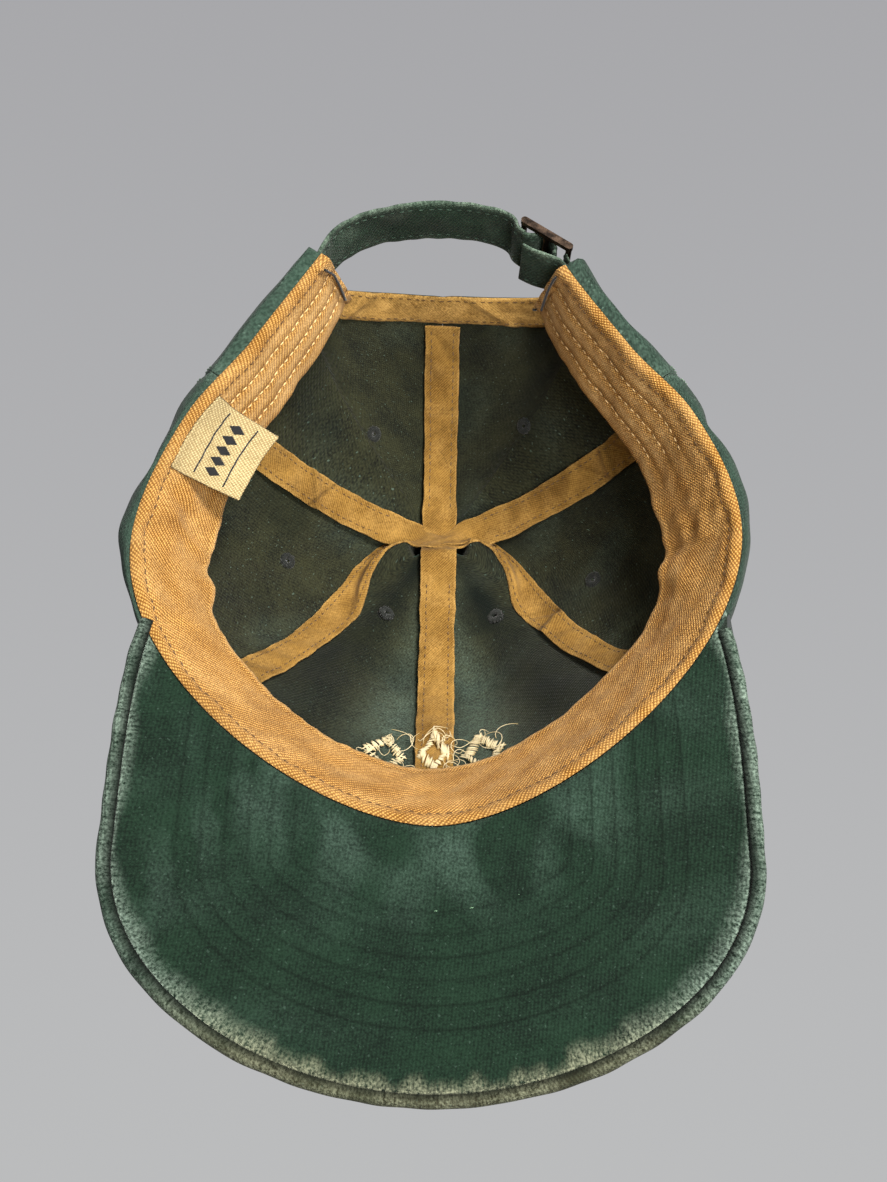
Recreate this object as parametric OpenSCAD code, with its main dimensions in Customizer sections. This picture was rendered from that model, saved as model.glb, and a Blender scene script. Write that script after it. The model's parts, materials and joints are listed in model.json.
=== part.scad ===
// Soft six-panel cap with a curved visor, a turned-in sweatband and a back strap.
// Crown up, visor towards -Y, the wearer's left towards +X.

/* [Head opening] */
// Half of the head opening's widest width
rim_half_w = 88; // [84:0.5:92]
// Front of the head opening
rim_front_y = -64; // [-67:0.5:-61]
// Where the head opening is widest
rim_side_y = 17; // [14:0.5:20]
// Back corner of the crown, from the centre line
corner_x = 42; // [41:0.5:43]
// Back corner of the crown, behind the origin
corner_y = 112.5; // [112:0.5:113]
// Back of the strap's curve, behind the origin
strap_back_y = 134; // [133.5:0.5:136]
// How far the soft opening is pushed out of true
slump = 4; // [3:0.5:5]

/* [Crown] */
// Where the six seams meet, behind the origin
apex_y = 54; // [48:0.5:60]
// Height at which the six seams meet
apex_z = 100; // [96:0.5:106]
// Thickness of the twill panels
panel_t = 1; // [0.8:0.1:1.2]
// Height of the gap above the strap
arch_h = 47; // [44:0.5:50]
// Width of the seam tapes
tape_w = 12.5; // [10:0.5:13]
// Thickness of the seam tapes
tape_t = 0.6; // [0.4:0.1:0.8]

/* [Visor] */
// Half of the visor's width
visor_half_w = 86.5; // [84:0.5:88]
// Front edge of the visor
visor_front_y = -134.5; // [-136:0.5:-133]
// Rise of the visor's middle above its sides
visor_arch = 20; // [16:0.5:24]
// Thickness of the stiffener board
board_t = 1.8; // [1.4:0.1:2]
// Thickness of the visor's cloth covers
cover_t = 0.8; // [0.6:0.1:0.9]
// Width of the top cover's turn under the edge
hem_w = 3; // [2.5:0.1:4]

/* [Sweatband] */
// Height of the sweatband
band_h = 32; // [28:0.5:34]
// Thickness of the sweatband's core
band_core_t = 0.8; // [0.6:0.1:1]

/* [Strap and buckle] */
// Width of the strap
strap_w = 18; // [16:0.5:18]
// Thickness of the strap
strap_t = 1.6; // [1.4:0.1:1.8]
// Lower edge of the strap above the base
strap_z = 2.5; // [2:0.1:3]
// Length of the buckle, along the strap
buckle_l = 19; // [18:0.5:20]
// Height of the buckle, across the strap
buckle_h = 22; // [21.8:0.1:22.4]
// Length of the strap's loose end
tail_l = 24; // [22:0.5:25]

/* [Trim] */
// Radius of the sewn eyelets' rings
eyelet_r = 3; // [2.5:0.1:3.5]
// Radius of the button on top
button_r = 6.5; // [6:0.1:7]

/* [Hidden] */
$fn = 48;

green = "#24503a";
dark_green = "#2d3a2c";
tan = "#c8964f";
cream = "#e9dfc4";

// The rim runs from w = 0 at the front, over 1 at the widest place and 2 at the
// back corner, to 3 at the middle of the strap. Negative w is the wearer's right.
seam_front_w = 0.68;
seam_back_w = 1.53;
seam_gap_w = 0.002;
// Panels stop just short of the apex, under the button
top_v = 0.97;
// The front seams swing sideways on their way up, by this share
seam_swing = 0.22;
// The gap over the strap: its shape's power, and where its top lies on a seam
arch_power = 0.8;
arch_v = 0.345 * arch_h / 47;
layer_gap = 0.15;
// Cloth lies this far from its neighbour, and thread this far from the cloth
clear = 0.5;
apex = [0, apex_y, apex_z];

// How the crown's profile changes around the rim, as [w, value] keys
bulge_keys = [[0, -4], [0.5, 0], [0.85, 14], [1.25, 29], [1.6, 29], [2, 24], [3, 12]];
rise_keys = [[0, 38], [1, 42], [3, 42]];
reach_keys = [[0, 0.12], [0.5, 0.2], [0.8, 0.46], [1.6, 0.48], [3, 0.62]];
lift_keys = [[0, 24], [0.5, 18], [0.85, 0], [3, 0]];
// How far the sweatband's free edge leans in, and how far inside the rim it is sewn
lean_keys = [[0, 20.5], [0.5, 17.5], [1, 14.5], [1.75, 5], [2.2, 0]];
seat_keys = [[0, 1.2], [1.4, 1.2], [1.66, 4.4], [3, 4.4]];
drop_keys = [[0, -1], [0.6, -1], [1, 0.3], [3, 0.3]];

function bezier(a, b, c, d, t) =
    a * pow(1 - t, 3) + 3 * b * t * pow(1 - t, 2) + 3 * c * t * t * (1 - t) + d * pow(t, 3);
function unit(v) = v / norm(v);
function smooth(s) = s * s * (3 - 2 * s);
function ease(keys, w, i = 0) =
    w <= keys[0][0] ? keys[0][1] :
    i >= len(keys) - 1 ? keys[i][1] :
    w > keys[i + 1][0] ? ease(keys, w, i + 1) :
    let (f = smooth((w - keys[i][0]) / (keys[i + 1][0] - keys[i][0])))
    keys[i][1] * (1 - f) + keys[i + 1][1] * f;

// Head opening: the curve on one side (1 left, -1 right) with x positive, then both
function rim_side(w, side = 0) =
    let (wide_y = rim_side_y - side * slump, back = [corner_x, corner_y + side * slump / 3])
    w <= 1 ? bezier([0, rim_front_y], [30, rim_front_y], [rim_half_w, wide_y - 44],
                    [rim_half_w, wide_y], w) :
    w <= 2 ? bezier([rim_half_w, wide_y], [rim_half_w, wide_y + 30], back + [15, -26],
                    back, w - 1) :
    bezier(back, back + [-8, 13.8], [20, strap_back_y], [0, strap_back_y], w - 2);
function wrap(w) = w > 3 ? w - 6 : w < -3 ? w + 6 : w;
function rim(w) = let (u = wrap(w), side = u < 0 ? -1 : 1, p = rim_side(abs(u), side))
    [p.x * side, p.y];
function rim_out(w) = let (t = unit(rim(w + 0.01) - rim(w - 0.01))) [t.y, -t.x];
function arch_z(x) = visor_arch * max(0, 1 - pow(x / rim_half_w, 2));
function rim_z(w) = abs(wrap(w)) < 1 ? arch_z(rim(w).x) : 0;

// Crown surface: v runs from the rim up to the apex, depth goes into the cap
function crown(w, v) =
    let (u = abs(wrap(w)), r = rim(w), out = rim_out(w), foot = [r.x, r.y, rim_z(w)],
         bulge = ease(bulge_keys, u), reach = ease(reach_keys, u))
    bezier(foot, foot + [out.x * bulge, out.y * bulge, ease(rise_keys, u)],
           [reach * r.x, apex_y + reach * (r.y - apex_y), apex_z + ease(lift_keys, u)], apex, v);
function crown_out(w, v) =
    let (u = min(v, 0.96), f = smooth(max(0, (v - 0.9) / 0.1)),
         n = unit(cross(crown(w + 0.01, u) - crown(w - 0.01, u),
                        crown(w, u + 0.01) - crown(w, u - 0.01))))
    unit(n * (1 - f) + [0, 0, 1] * f);
function crown_at(w, v, depth) = crown(w, v) - crown_out(w, v) * depth;

// Closed solid between two grids of points of the same size
module sheet(a, b) {
    n = len(a);
    m = len(a[0]);
    function id(s, i, j) = s * n * m + i * m + j;
    quads = concat(
        [for (i = [0 : n - 2], j = [0 : m - 2])
            [id(0, i, j), id(0, i + 1, j), id(0, i + 1, j + 1), id(0, i, j + 1)]],
        [for (i = [0 : n - 2], j = [0 : m - 2])
            [id(1, i, j), id(1, i, j + 1), id(1, i + 1, j + 1), id(1, i + 1, j)]],
        [for (i = [0 : n - 2]) [id(0, i, 0), id(1, i, 0), id(1, i + 1, 0), id(0, i + 1, 0)]],
        [for (i = [0 : n - 2])
            [id(0, i, m - 1), id(0, i + 1, m - 1), id(1, i + 1, m - 1), id(1, i, m - 1)]],
        [for (j = [0 : m - 2]) [id(0, 0, j), id(0, 0, j + 1), id(1, 0, j + 1), id(1, 0, j)]],
        [for (j = [0 : m - 2])
            [id(0, n - 1, j), id(1, n - 1, j), id(1, n - 1, j + 1), id(0, n - 1, j + 1)]]);
    i = floor((n - 1) / 2);
    j = floor((m - 1) / 2);
    facing = cross(a[i + 1][j] - a[i][j], a[i][j + 1] - a[i][j]) * (a[i][j] - b[i][j]);
    function face(p, q, r) = facing > 0 ? [r, q, p] : [p, q, r];
    polyhedron([for (grid = [a, b]) for (row = grid) each row],
               [for (q = quads) each [face(q[0], q[1], q[2]), face(q[0], q[2], q[3])]]);
}

// Seams climb along w = fixed + swinging * swing(v)
function swing(v) = 1 + seam_swing * smooth(min(1, max(0, (v - 0.35) / 0.5)));

// Panel from seam to seam. Each column is [fixed, swinging, lowest v].
module crown_panel(columns, rows = 11) {
    function grid(depth) = [for (c = columns) [for (j = [0 : rows])
        let (v = c[2] + (top_v - c[2]) * j / rows) crown_at(c[0] + c[1] * swing(v), v, depth)]];
    sheet(grid(0), grid(panel_t));
}
shares = [for (i = [0 : 8]) seam_gap_w + (1 - 2 * seam_gap_w) * i / 8];
function front_columns(side) = [for (s = shares) [0, side * seam_front_w * s, 0]];
function side_columns(side) =
    [for (s = shares) [side * seam_back_w * s, side * seam_front_w * (1 - s), 0]];
// The back panel's columns reach down to the rim, then to the edge of the gap
function back_columns(side) = concat(
    [for (i = [0 : 3])
        [side * (seam_back_w + seam_gap_w + (2 - seam_back_w) * i / 4), 0, 0]],
    [for (a = [0 : 9 : 90]) [side * (3 - seam_gap_w - pow(cos(a), arch_power)), 0,
                             arch_v * pow(sin(a), arch_power)]]);
eyelet_hole_r = 1.3;
module eyelet_hole(w, v) {
    translate(crown(w, v)) aim(crown_out(w, v))
        cylinder(r = eyelet_hole_r, h = 8 * panel_t, center = true);
}
module aim(n) {
    rotate([0, acos(n.z), atan2(n.y, n.x)]) children();
}
// Eyelets of the front, side and back panels, left then right
left_eyelets = [[0.5, 0.68], [1.11, 0.61], [2.12, 0.64]];
right_eyelets = [[0.52, 0.66], [0.97, 0.59], [2.03, 0.58]];
function eyelets_wv(side) = side > 0 ? left_eyelets : right_eyelets;

module panel_front(side) {
    color(green) difference() {
        crown_panel(front_columns(side));
        eyelet_hole(side * eyelets_wv(side)[0][0], eyelets_wv(side)[0][1]);
    }
}
module panel_side(side) {
    color(green) difference() {
        crown_panel(side_columns(side));
        eyelet_hole(side * eyelets_wv(side)[1][0], eyelets_wv(side)[1][1]);
    }
}
module panel_back(side) {
    color(green) difference() {
        crown_panel(back_columns(side));
        eyelet_hole(side * eyelets_wv(side)[2][0], eyelets_wv(side)[2][1]);
    }
}
module eyelets() {
    color(dark_green) for (side = [1, -1], e = eyelets_wv(side))
        translate(crown(side * e[0], e[1])) aim(crown_out(side * e[0], e[1])) {
            translate([0, 0, ring_t / 2 + 0.15]) ring();
            translate([0, 0, -panel_t - ring_t / 2 - 0.4]) ring();
        }
}
ring_t = 1;
ring_w = 1.6;
module ring() {
    rotate_extrude() translate([eyelet_r - ring_w / 2 - 0.1, 0]) scale([ring_w, ring_t])
        circle(r = 0.5, $fn = 24);
}

// Seam tape from one seam's foot over the apex to another's: each end is
// [fixed, swinging, lowest v]. The tape sags off the crown towards the apex, where
// the three of them cross in layers, and narrows where the seams crowd together.
module seam_tape(from, to, layer, steps = 9) {
    arm_top = 0.9;
    top_sag = 1.6 + 3 * layer;
    apex_drop = 3.4 + 2.4 * layer;
    depth = panel_t + clear + layer * (tape_t + layer_gap);
    function arm(end, flip, d) = [for (i = [0 : steps])
        let (v = end[2] + (arm_top - end[2]) * i / steps, w = end[0] + end[1] * swing(v),
             reach = norm(crown(w + 0.01, v) - crown(w - 0.01, v)) / 0.02,
             half = min(0.45, tape_w / 2 / reach))
        [for (s = [-1, 0, 1]) crown_at(w + s * flip * half, v, d + top_sag * pow(v, 6))]];
    function grid(d) = let (first = arm(from, 1, d), last = arm(to, -1, d),
        across = unit(first[steps][2] - first[steps][0] + last[steps][2] - last[steps][0]))
        concat(first, [[for (s = [-1, 0, 1])
            apex - [0, 0, d + apex_drop] + across * s * tape_w / 2]],
            [for (i = [steps : -1 : 0]) last[i]]);
    color(tan) sheet(grid(depth), grid(depth + tape_t));
}
module arch_binding() {
    function grid(depth) = [for (a = [-81 : 9 : 81]) [for (r = [0 : 3])
        let (side = a < 0 ? -1 : 1, b = 90 - abs(a))
        crown_at(side * (3 - (1 + 0.05 * r) * pow(cos(b), arch_power)),
                 (arch_v + 0.025 * r) * pow(sin(b), arch_power), depth)]];
    color(tan) sheet(grid(panel_t + 2 * clear), grid(panel_t + 2 * clear + tape_t));
}

// The button sits tipped back, behind the puffed front of the crown
button_out = unit([0, 0.42, 0.91]);
button_lift = 2.7;
cap_t = 0.8;
rivet_r = 1;
module on_apex() {
    translate(apex) aim(button_out) children();
}
// Quarter of a flattened disc, its rim at the given radius
module button_profile(r) {
    intersection() {
        scale([1, 0.55]) circle(r = r);
        square(r);
    }
}
module button_cover() {
    color(green) on_apex() translate([0, 0, button_lift]) rotate_extrude() difference() {
        button_profile(button_r);
        button_profile(button_r - cap_t);
    }
}
module button_shell() {
    color("silver") on_apex() translate([0, 0, button_lift]) difference() {
        rotate_extrude() button_profile(button_r - cap_t - 0.05);
        cylinder(r = rivet_r, h = 1.5);
    }
}
module button_rivet() {
    washer_z = -2.1;
    color("silver") on_apex() {
        translate([0, 0, washer_z]) cylinder(r = rivet_r, h = button_lift - washer_z + 1.4);
        translate([0, 0, washer_z]) cylinder(r = 2.5 * rivet_r, h = 0.4);
    }
}

// Visor outline: q = 0 at the middle of the front edge, 1 at the ear
ear_w = 0.8;
function visor_edge_side(q) = let (ear = rim_side(ear_w), wide_y = -74)
    q <= 0.5 ? bezier([0, visor_front_y], [40, visor_front_y], [visor_half_w - 1, wide_y - 38],
                      [visor_half_w, wide_y], q * 2) :
    bezier([visor_half_w, wide_y], [visor_half_w, wide_y + 26], ear + [5, -20],
           ear + [0.8, -1], q * 2 - 1);
function visor_edge(q) = let (p = visor_edge_side(abs(q))) [p.x * (q < 0 ? -1 : 1), p.y];
// The visor's middle surface clears the base by this much at its sides
visor_lift = 1.1;
function visor_z(x) = visor_lift + visor_arch * (1 - pow(x / rim_half_w, 2));
// Point at share p of the way from the rim to the edge, less an inset
function visor_at(q, p, inset, dz) =
    let (a = rim(q * ear_w) + rim_out(q * ear_w) * 0.4, b = visor_edge(q), d = norm(b - a),
         c = a + (b - a) * p * max(0.2, 1 - inset / d))
    [c.x, c.y, visor_z(c.x) + dz];
visor_q = [for (i = [-20 : 20]) i / 20];
visor_p = [for (i = [0 : 6]) i / 6];
module visor_sheet(inset, low, high) {
    function grid(dz) = [for (q = visor_q) [for (p = visor_p) visor_at(q, p, inset, dz)]];
    sheet(grid(high), grid(low));
}
cover_in = board_t / 2 + 0.05;
cover_out = cover_in + cover_t;
module visor_board() {
    board_inset = 1.1;
    color("white") visor_sheet(board_inset, -board_t / 2, board_t / 2);
}
module visor_bottom_cover() {
    color(green) visor_sheet(hem_w + 0.2, -cover_out, -cover_in);
}
module visor_top_cover() {
    function grid(dz, back) = [for (q = visor_q) concat(
        [for (p = visor_p) visor_at(q, p, back, dz)],
        [visor_at(q, 1, back, -dz), visor_at(q, 1, hem_w, -dz)])];
    color(green) sheet(grid(cover_out, 0), grid(cover_in, cover_t));
}

// Sweatband: three layers from back corner to back corner, its foot on the rim seam
band_bow = 1.5;
function band_point(w, v, depth) =
    let (u = abs(w), r = rim(w), out = rim_out(w),
         in = ease(seat_keys, u) + v * ease(lean_keys, u) + band_bow * v * (1 - v) + depth)
    [r.x - out.x * in, r.y - out.y * in, rim_z(w) + ease(drop_keys, u) + v * band_h];
function band_end(v) = 2 + 0.22 * v;
function band_at(t, v, depth) = band_point(t * band_end(v), v, depth);
band_t = [for (i = [-32 : 32]) i / 32];
module band_layer(near, far) {
    function grid(depth) = [for (t = band_t) [for (j = [0 : 3]) band_at(t, j / 3, depth)]];
    color(tan) sheet(grid(near), grid(far));
}
cloth_t = 0.5;
module sweatband_back() { band_layer(0, cloth_t); }
module sweatband_core() { band_layer(cloth_t + 0.05, cloth_t + 0.05 + band_core_t); }
module sweatband_face() {
    band_layer(cloth_t + 0.1 + band_core_t, 2 * cloth_t + 0.1 + band_core_t);
}
band_total = 2 * cloth_t + 0.1 + band_core_t;

// Buckle frame of reference: origin on the end bar, +X along the strap towards its
// fixed end, +Y out of the cap, +Z across the strap
buckle_at = [-38.5, 114.5, strap_z + strap_w / 2];
buckle_turn = 35;
module at_buckle() {
    translate(buckle_at) rotate([0, 0, buckle_turn]) children();
}
function buckle_point(x, y) = [buckle_at.x + x * cos(buckle_turn) - y * sin(buckle_turn),
                               buckle_at.y + x * sin(buckle_turn) + y * cos(buckle_turn)];
bar_r = 1;
bar_xs = [0, (buckle_l - 2) / 2, buckle_l - 2];
plate_y = 2.2;
module buckle_frame() {
    rail_t = 1.6;
    rail_r = bar_r + 0.2;
    color("#3a332b") at_buckle() {
        for (x = bar_xs) translate([x, plate_y, 0])
            cylinder(r = bar_r, h = buckle_h - rail_t, center = true);
        for (z = [-1, 1]) translate([0, plate_y, z * (buckle_h - rail_t) / 2])
            linear_extrude(rail_t, center = true) {
                translate([0, -rail_r]) square([buckle_l - 2, 2 * rail_r]);
                for (x = [bar_xs[0], bar_xs[2]]) translate([x, 0]) circle(r = rail_r);
            }
    }
}

// Upright strip along a list of points seen from above
module strip(path, low, high, t) {
    n = len(path);
    function out(i) = let (d = unit(path[min(i + 1, n - 1)] - path[max(i - 1, 0)]))
        [-d.y, d.x];
    function grid(o) = [for (i = [0 : n - 1]) let (p = path[i] + out(i) * o)
        [[p.x, p.y, low], [p.x, p.y, high]]];
    sheet(grid(-t / 2), grid(t / 2));
}
strap_top = strap_z + strap_w;
// From inside the left corner, round the back, to the buckle's far end
module strap() {
    end = buckle_point(buckle_l + 1.8, 0);
    path = concat([for (w = [1.9 : 0.1 : 3.4]) rim(w) - rim_out(w) * ease([[1.9, 2.6], [2.3, 0]],
                   wrap(w) < 0 ? 3 : w)], [rim(-2.5) * 0.4 + end * 0.6 + [-0.4, 0.3], end]);
    color(green) strip(path, strap_z, strap_top, strap_t);
}
// Over the middle bar: in at the far slot, out over the bar, back in at the near slot
module strap_loop() {
    top = plate_y + bar_r + 0.15 + strap_t / 2;
    rest = plate_y - bar_r - 0.35 - strap_t / 2 - 0.3;
    x = bar_xs[1];
    route = [[buckle_l - 0.6, 0], [x + 6.2, rest + 0.4], [x + 4.2, 0.4], [x + 2.6, top - 0.7],
             [x, top], [x - 2.6, top - 0.7], [x - 4.2, 0.6], [x - 4.4, -0.9]];
    color(green) strip([for (p = route) buckle_point(p[0], p[1])], strap_z, strap_top, strap_t);
}
// The loose end lies between the right back panel and the sweatband
tail_dir = unit([-0.553, -0.833]);
module strap_tail() {
    start = buckle_point(2.3, -1.4);
    color(green) strip([start, start + tail_dir * tail_l * 0.5, start + tail_dir * tail_l],
                       strap_z, strap_top, strap_t);
}
// Loop round the end bar, sewn between the right back panel and the sweatband
module buckle_tab() {
    route = [for (a = [-100 : 25 : 100]) [cos(a), sin(a)] * (bar_r + 0.6)];
    loop = [for (p = route) buckle_point(p[0], plate_y + p[1])];
    sewn = [for (w = [-1.93, -1.99]) rim(w) - rim_out(w) * 1.45];
    color(green) strip(concat(sewn, loop), strap_z + 1, strap_top - 1, 0.7);
}

// Label sewn by its lower edge to the sweatband's foot, on the wearer's left. It leans in
// and a little to the back, and flaps about a roll in the middle of its lower edge.
label_w = [1.26, 1.49];
label_foot_v = 0.06;
label_h = 26;
label_lean = [25, 62];
label_skew = 4;
label_t = 0.5;
label_roll_r = 0.4;
label_roll_l = 9;
label_mid_w = (label_w[0] + label_w[1]) / 2;
label_across = unit(band_point(label_mid_w + 0.01, label_foot_v, 0) -
                    band_point(label_mid_w - 0.01, label_foot_v, 0));
// Point at share s of the label's height, where it is thick by t
function label_point(w, s, t) =
    let (foot = band_point(w, label_foot_v, band_total + clear), out = rim_out(w),
         a = label_lean[0], b = label_lean[1],
         in = label_h * (sin(a) * s + (sin(b) - sin(a)) * s * s / 2),
         up = label_h * (cos(a) * s + (cos(b) - cos(a)) * s * s / 2), lean = a + (b - a) * s)
    [foot.x - out.x * (in + t * cos(lean)), foot.y - out.y * (in + t * cos(lean)),
     foot.z + up - t * sin(lean)] + label_across * label_skew * s;
module woven_label() {
    function grid(t) = [for (i = [0 : 6]) [for (j = [0 : 5])
        label_point(label_w[0] + (label_w[1] - label_w[0]) * i / 6, j / 5, t)]];
    color(cream) {
        sheet(grid(0), grid(label_t));
        translate(label_point(label_mid_w, 0, label_t / 2)) aim(label_across)
            cylinder(r = label_roll_r, h = label_roll_l, center = true);
    }
}
module thread_bar(from, to, r = 0.4) {
    d = to - from;
    translate(from) aim(unit(d)) cylinder(r = r, h = norm(d), $fn = 16);
}
module bar_tacks() {
    color("black") {
        for (side = [1, -1])
            thread_bar(band_at(side * 0.985, 0.05, band_total + 2 * clear),
                       band_at(side * 0.975, 0.82, band_total + 2 * clear));
        thread_bar(band_at(-0.97, 0.9, band_total + 2 * clear),
                   band_at(-0.99, 0.97, band_total + 2 * clear));
    }
}

// Plain diamonds sewn on the front, and the knots of thread behind them
diamond_v = 0.36;
module diamond(centre_w, depth, t, half_w, half_v) {
    function grid(d) = [for (a = [-1 : 0.5 : 1]) [for (b = [-1 : 0.5 : 1])
        crown_at(centre_w + half_w * (a - b) / 2, diamond_v + half_v * (a + b) / 2, d)]];
    sheet(grid(depth), grid(depth + t));
}
module diamonds(depth, t, half_w, half_v) {
    for (c = [-1, 0, 1]) diamond(c * 0.2, depth, t, half_w, half_v);
}
module embroidery() {
    color(cream) diamonds(-0.7, 0.6, 0.08, 0.07);
}
module embroidery_backing() {
    color(cream) diamonds(panel_t + 2 * clear + tape_t, 0.5, 0.06, 0.045);
}

panel_front(1);  // panel_front_left
panel_front(-1);  // panel_front_right
panel_side(1);  // panel_side_left
panel_side(-1);  // panel_side_right
panel_back(1);  // panel_back_left
panel_back(-1);  // panel_back_right
seam_tape([0, 0, 0.17], [3, 0, 0.44], 0);  // seam_tape_centre
seam_tape([0, seam_front_w, 0.12], [-seam_back_w, 0, 0.12], 1);  // seam_tape_left_front
seam_tape([0, -seam_front_w, 0.12], [seam_back_w, 0, 0.12], 2);  // seam_tape_right_front
arch_binding();
eyelets();
button_cover();
button_shell();
button_rivet();
visor_board();
visor_top_cover();
visor_bottom_cover();
sweatband_face();
sweatband_core();
sweatband_back();
strap();
strap_loop();
strap_tail();
buckle_frame();
buckle_tab();
woven_label();
bar_tacks();
embroidery();
embroidery_backing();
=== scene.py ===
"""Looks of a soft six-panel cap: cloth, stitching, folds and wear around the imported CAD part.

Shapes are worked out in millimetres by the same rules as the CAD part, and turned into
metres when a mesh is made. Round the head opening w runs from 0 at the front, over 1 at the
widest place and 2 at the back corner, to 3 at the middle of the strap; negative w is the
wearer's right. On the crown v runs from the rim, 0, to the apex, 1.
"""

import json
import math

import bpy
import numpy as np
from mathutils import Matrix, Vector
from mathutils.kdtree import KDTree


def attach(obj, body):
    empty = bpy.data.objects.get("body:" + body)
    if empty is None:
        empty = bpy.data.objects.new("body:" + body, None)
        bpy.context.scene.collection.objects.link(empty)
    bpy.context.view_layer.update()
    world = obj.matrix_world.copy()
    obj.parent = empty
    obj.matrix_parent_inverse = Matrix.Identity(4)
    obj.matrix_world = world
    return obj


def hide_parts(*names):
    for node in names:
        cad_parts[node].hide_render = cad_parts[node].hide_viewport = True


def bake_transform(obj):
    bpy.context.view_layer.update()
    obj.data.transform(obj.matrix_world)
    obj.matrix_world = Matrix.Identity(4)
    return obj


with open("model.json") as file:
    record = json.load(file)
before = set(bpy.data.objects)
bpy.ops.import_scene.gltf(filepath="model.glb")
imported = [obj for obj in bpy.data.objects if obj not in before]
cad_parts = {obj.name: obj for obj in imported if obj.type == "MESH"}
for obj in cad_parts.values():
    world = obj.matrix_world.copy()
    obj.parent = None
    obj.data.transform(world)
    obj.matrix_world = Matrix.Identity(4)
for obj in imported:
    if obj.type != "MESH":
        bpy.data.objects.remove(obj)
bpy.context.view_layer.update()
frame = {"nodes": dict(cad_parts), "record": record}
MM = 0.001
BODY_OF = {node: body for body, nodes in frame["record"]["behaviour"]["bodies"].items() for node in nodes}

# ---------------------------------------------------------------- the cap's dimensions, in mm
RIM_HALF_W, RIM_FRONT_Y, RIM_SIDE_Y = 88.0, -64.0, 17.0
CORNER_X, CORNER_Y, STRAP_BACK_Y, SLUMP = 42.0, 112.5, 134.0, 4.0
APEX = np.array([0.0, 54.0, 100.0])
PANEL_T, TAPE_W, TAPE_T = 1.0, 12.5, 0.6
TAPE_DEPTH = PANEL_T + 0.9  # of a tape's middle, in from the crown's outside
VISOR_HALF_W, VISOR_FRONT_Y, VISOR_ARCH, HEM_W = 86.5, -134.5, 20.0, 3.0
BAND_H, BAND_T = 32.0, 1.9
STRAP_W, STRAP_T, STRAP_Z = 18.0, 1.6, 2.5
BUCKLE_L, BUCKLE_TURN = 19.0, math.radians(35)
BUCKLE_AT, PLATE_Y, BAR_R = np.array([-38.5, 114.5]), 2.2, 1.0
TAIL_L, TAIL_DIR = 24.0, np.array([-0.553, -0.833])
SEAM_FRONT_W, SEAM_BACK_W = 0.68, 1.53
ARCH_POWER, ARCH_V, TOP_V = 0.8, 0.345, 0.985
EAR_W = 0.8
EYELETS = {1: [(0.5, 0.68), (1.11, 0.61), (2.12, 0.64)], -1: [(0.52, 0.66), (0.97, 0.59), (2.03, 0.58)]}
BULGE = [(0, -4), (0.5, 0), (0.85, 14), (1.25, 29), (1.6, 29), (2, 24), (3, 12)]
RISE = [(0, 38), (1, 42), (3, 42)]
REACH = [(0, 0.12), (0.5, 0.2), (0.8, 0.46), (1.6, 0.48), (3, 0.62)]
LIFT = [(0, 24), (0.5, 18), (0.85, 0), (3, 0)]
LEAN = [(0, 20.5), (0.5, 17.5), (1, 14.5), (1.75, 5), (2.2, 0)]
SEAT = [(0, 1.2), (1.4, 1.2), (1.66, 4.4), (3, 4.4)]
DROP = [(0, -1), (0.6, -1), (1, 0.3), (3, 0.3)]
CHANNELS = (0.3, 0.53, 0.76)  # heights of the sweatband's channel seams, as shares of its height
LABEL_W, LABEL_H, LABEL_FOOT_V = 27, 26, 0.06
MOTIF_W = (-0.2, 0, 0.2)  # where the embroidered diamonds stand round the front
LABEL_FROM_W, LABEL_SPAN_W = 1.26, 0.23
LABEL_LEAN = math.radians(25), math.radians(62)  # lean from upright at its foot and at its free edge

# ---------------------------------------------------------------- camera, in metres, mm and degrees
EYE, PITCH, ROLL = (-0.002, -0.115, -0.302), 20.7, 1.0
SENSOR, LENS = 36, 35.269


# ---------------------------------------------------------------- small maths
def smooth(s):
    s = np.clip(s, 0, 1)
    return s * s * (3 - 2 * s)


def hump(x, centre, width):
    return np.exp(-(((x - centre) / width) ** 2))


def unit(v):
    return v / np.maximum(np.linalg.norm(v, axis=-1, keepdims=True), 1e-9)


def vec(*coordinates):
    return np.stack(np.broadcast_arrays(*[np.asarray(c, float) for c in coordinates]), -1)


def raised(p, z):
    """Points seen from above, put at height z."""
    return vec(p[..., 0], p[..., 1], z)


def bezier(a, b, c, d, t):
    t = np.asarray(t, float)[..., None]
    return a * (1 - t) ** 3 + 3 * b * t * (1 - t) ** 2 + 3 * c * t * t * (1 - t) + d * t**3


def ease(keys, w):
    at, value = np.array(keys, float).T
    i = np.clip(np.searchsorted(at, w) - 1, 0, len(at) - 2)
    return value[i] + (value[i + 1] - value[i]) * smooth((w - at[i]) / (at[i + 1] - at[i]))


def ripple(p, length, seed, stretch=(1, 1, 1)):
    """Soft hills and dips over points p, from -1 to 1, about length mm apart."""
    rng = np.random.default_rng(seed)
    total = 0
    for _ in range(6):
        way = unit(rng.normal(size=3)) * np.array(stretch) * rng.uniform(0.7, 1.4) * 2 * math.pi / length
        total = total + np.sin(p @ way + rng.uniform(0, 2 * math.pi))
    return total / 3.2


# ---------------------------------------------------------------- rim, crown, visor and sweatband
def wrap(w):
    return (np.asarray(w, float) + 3) % 6 - 3


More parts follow.
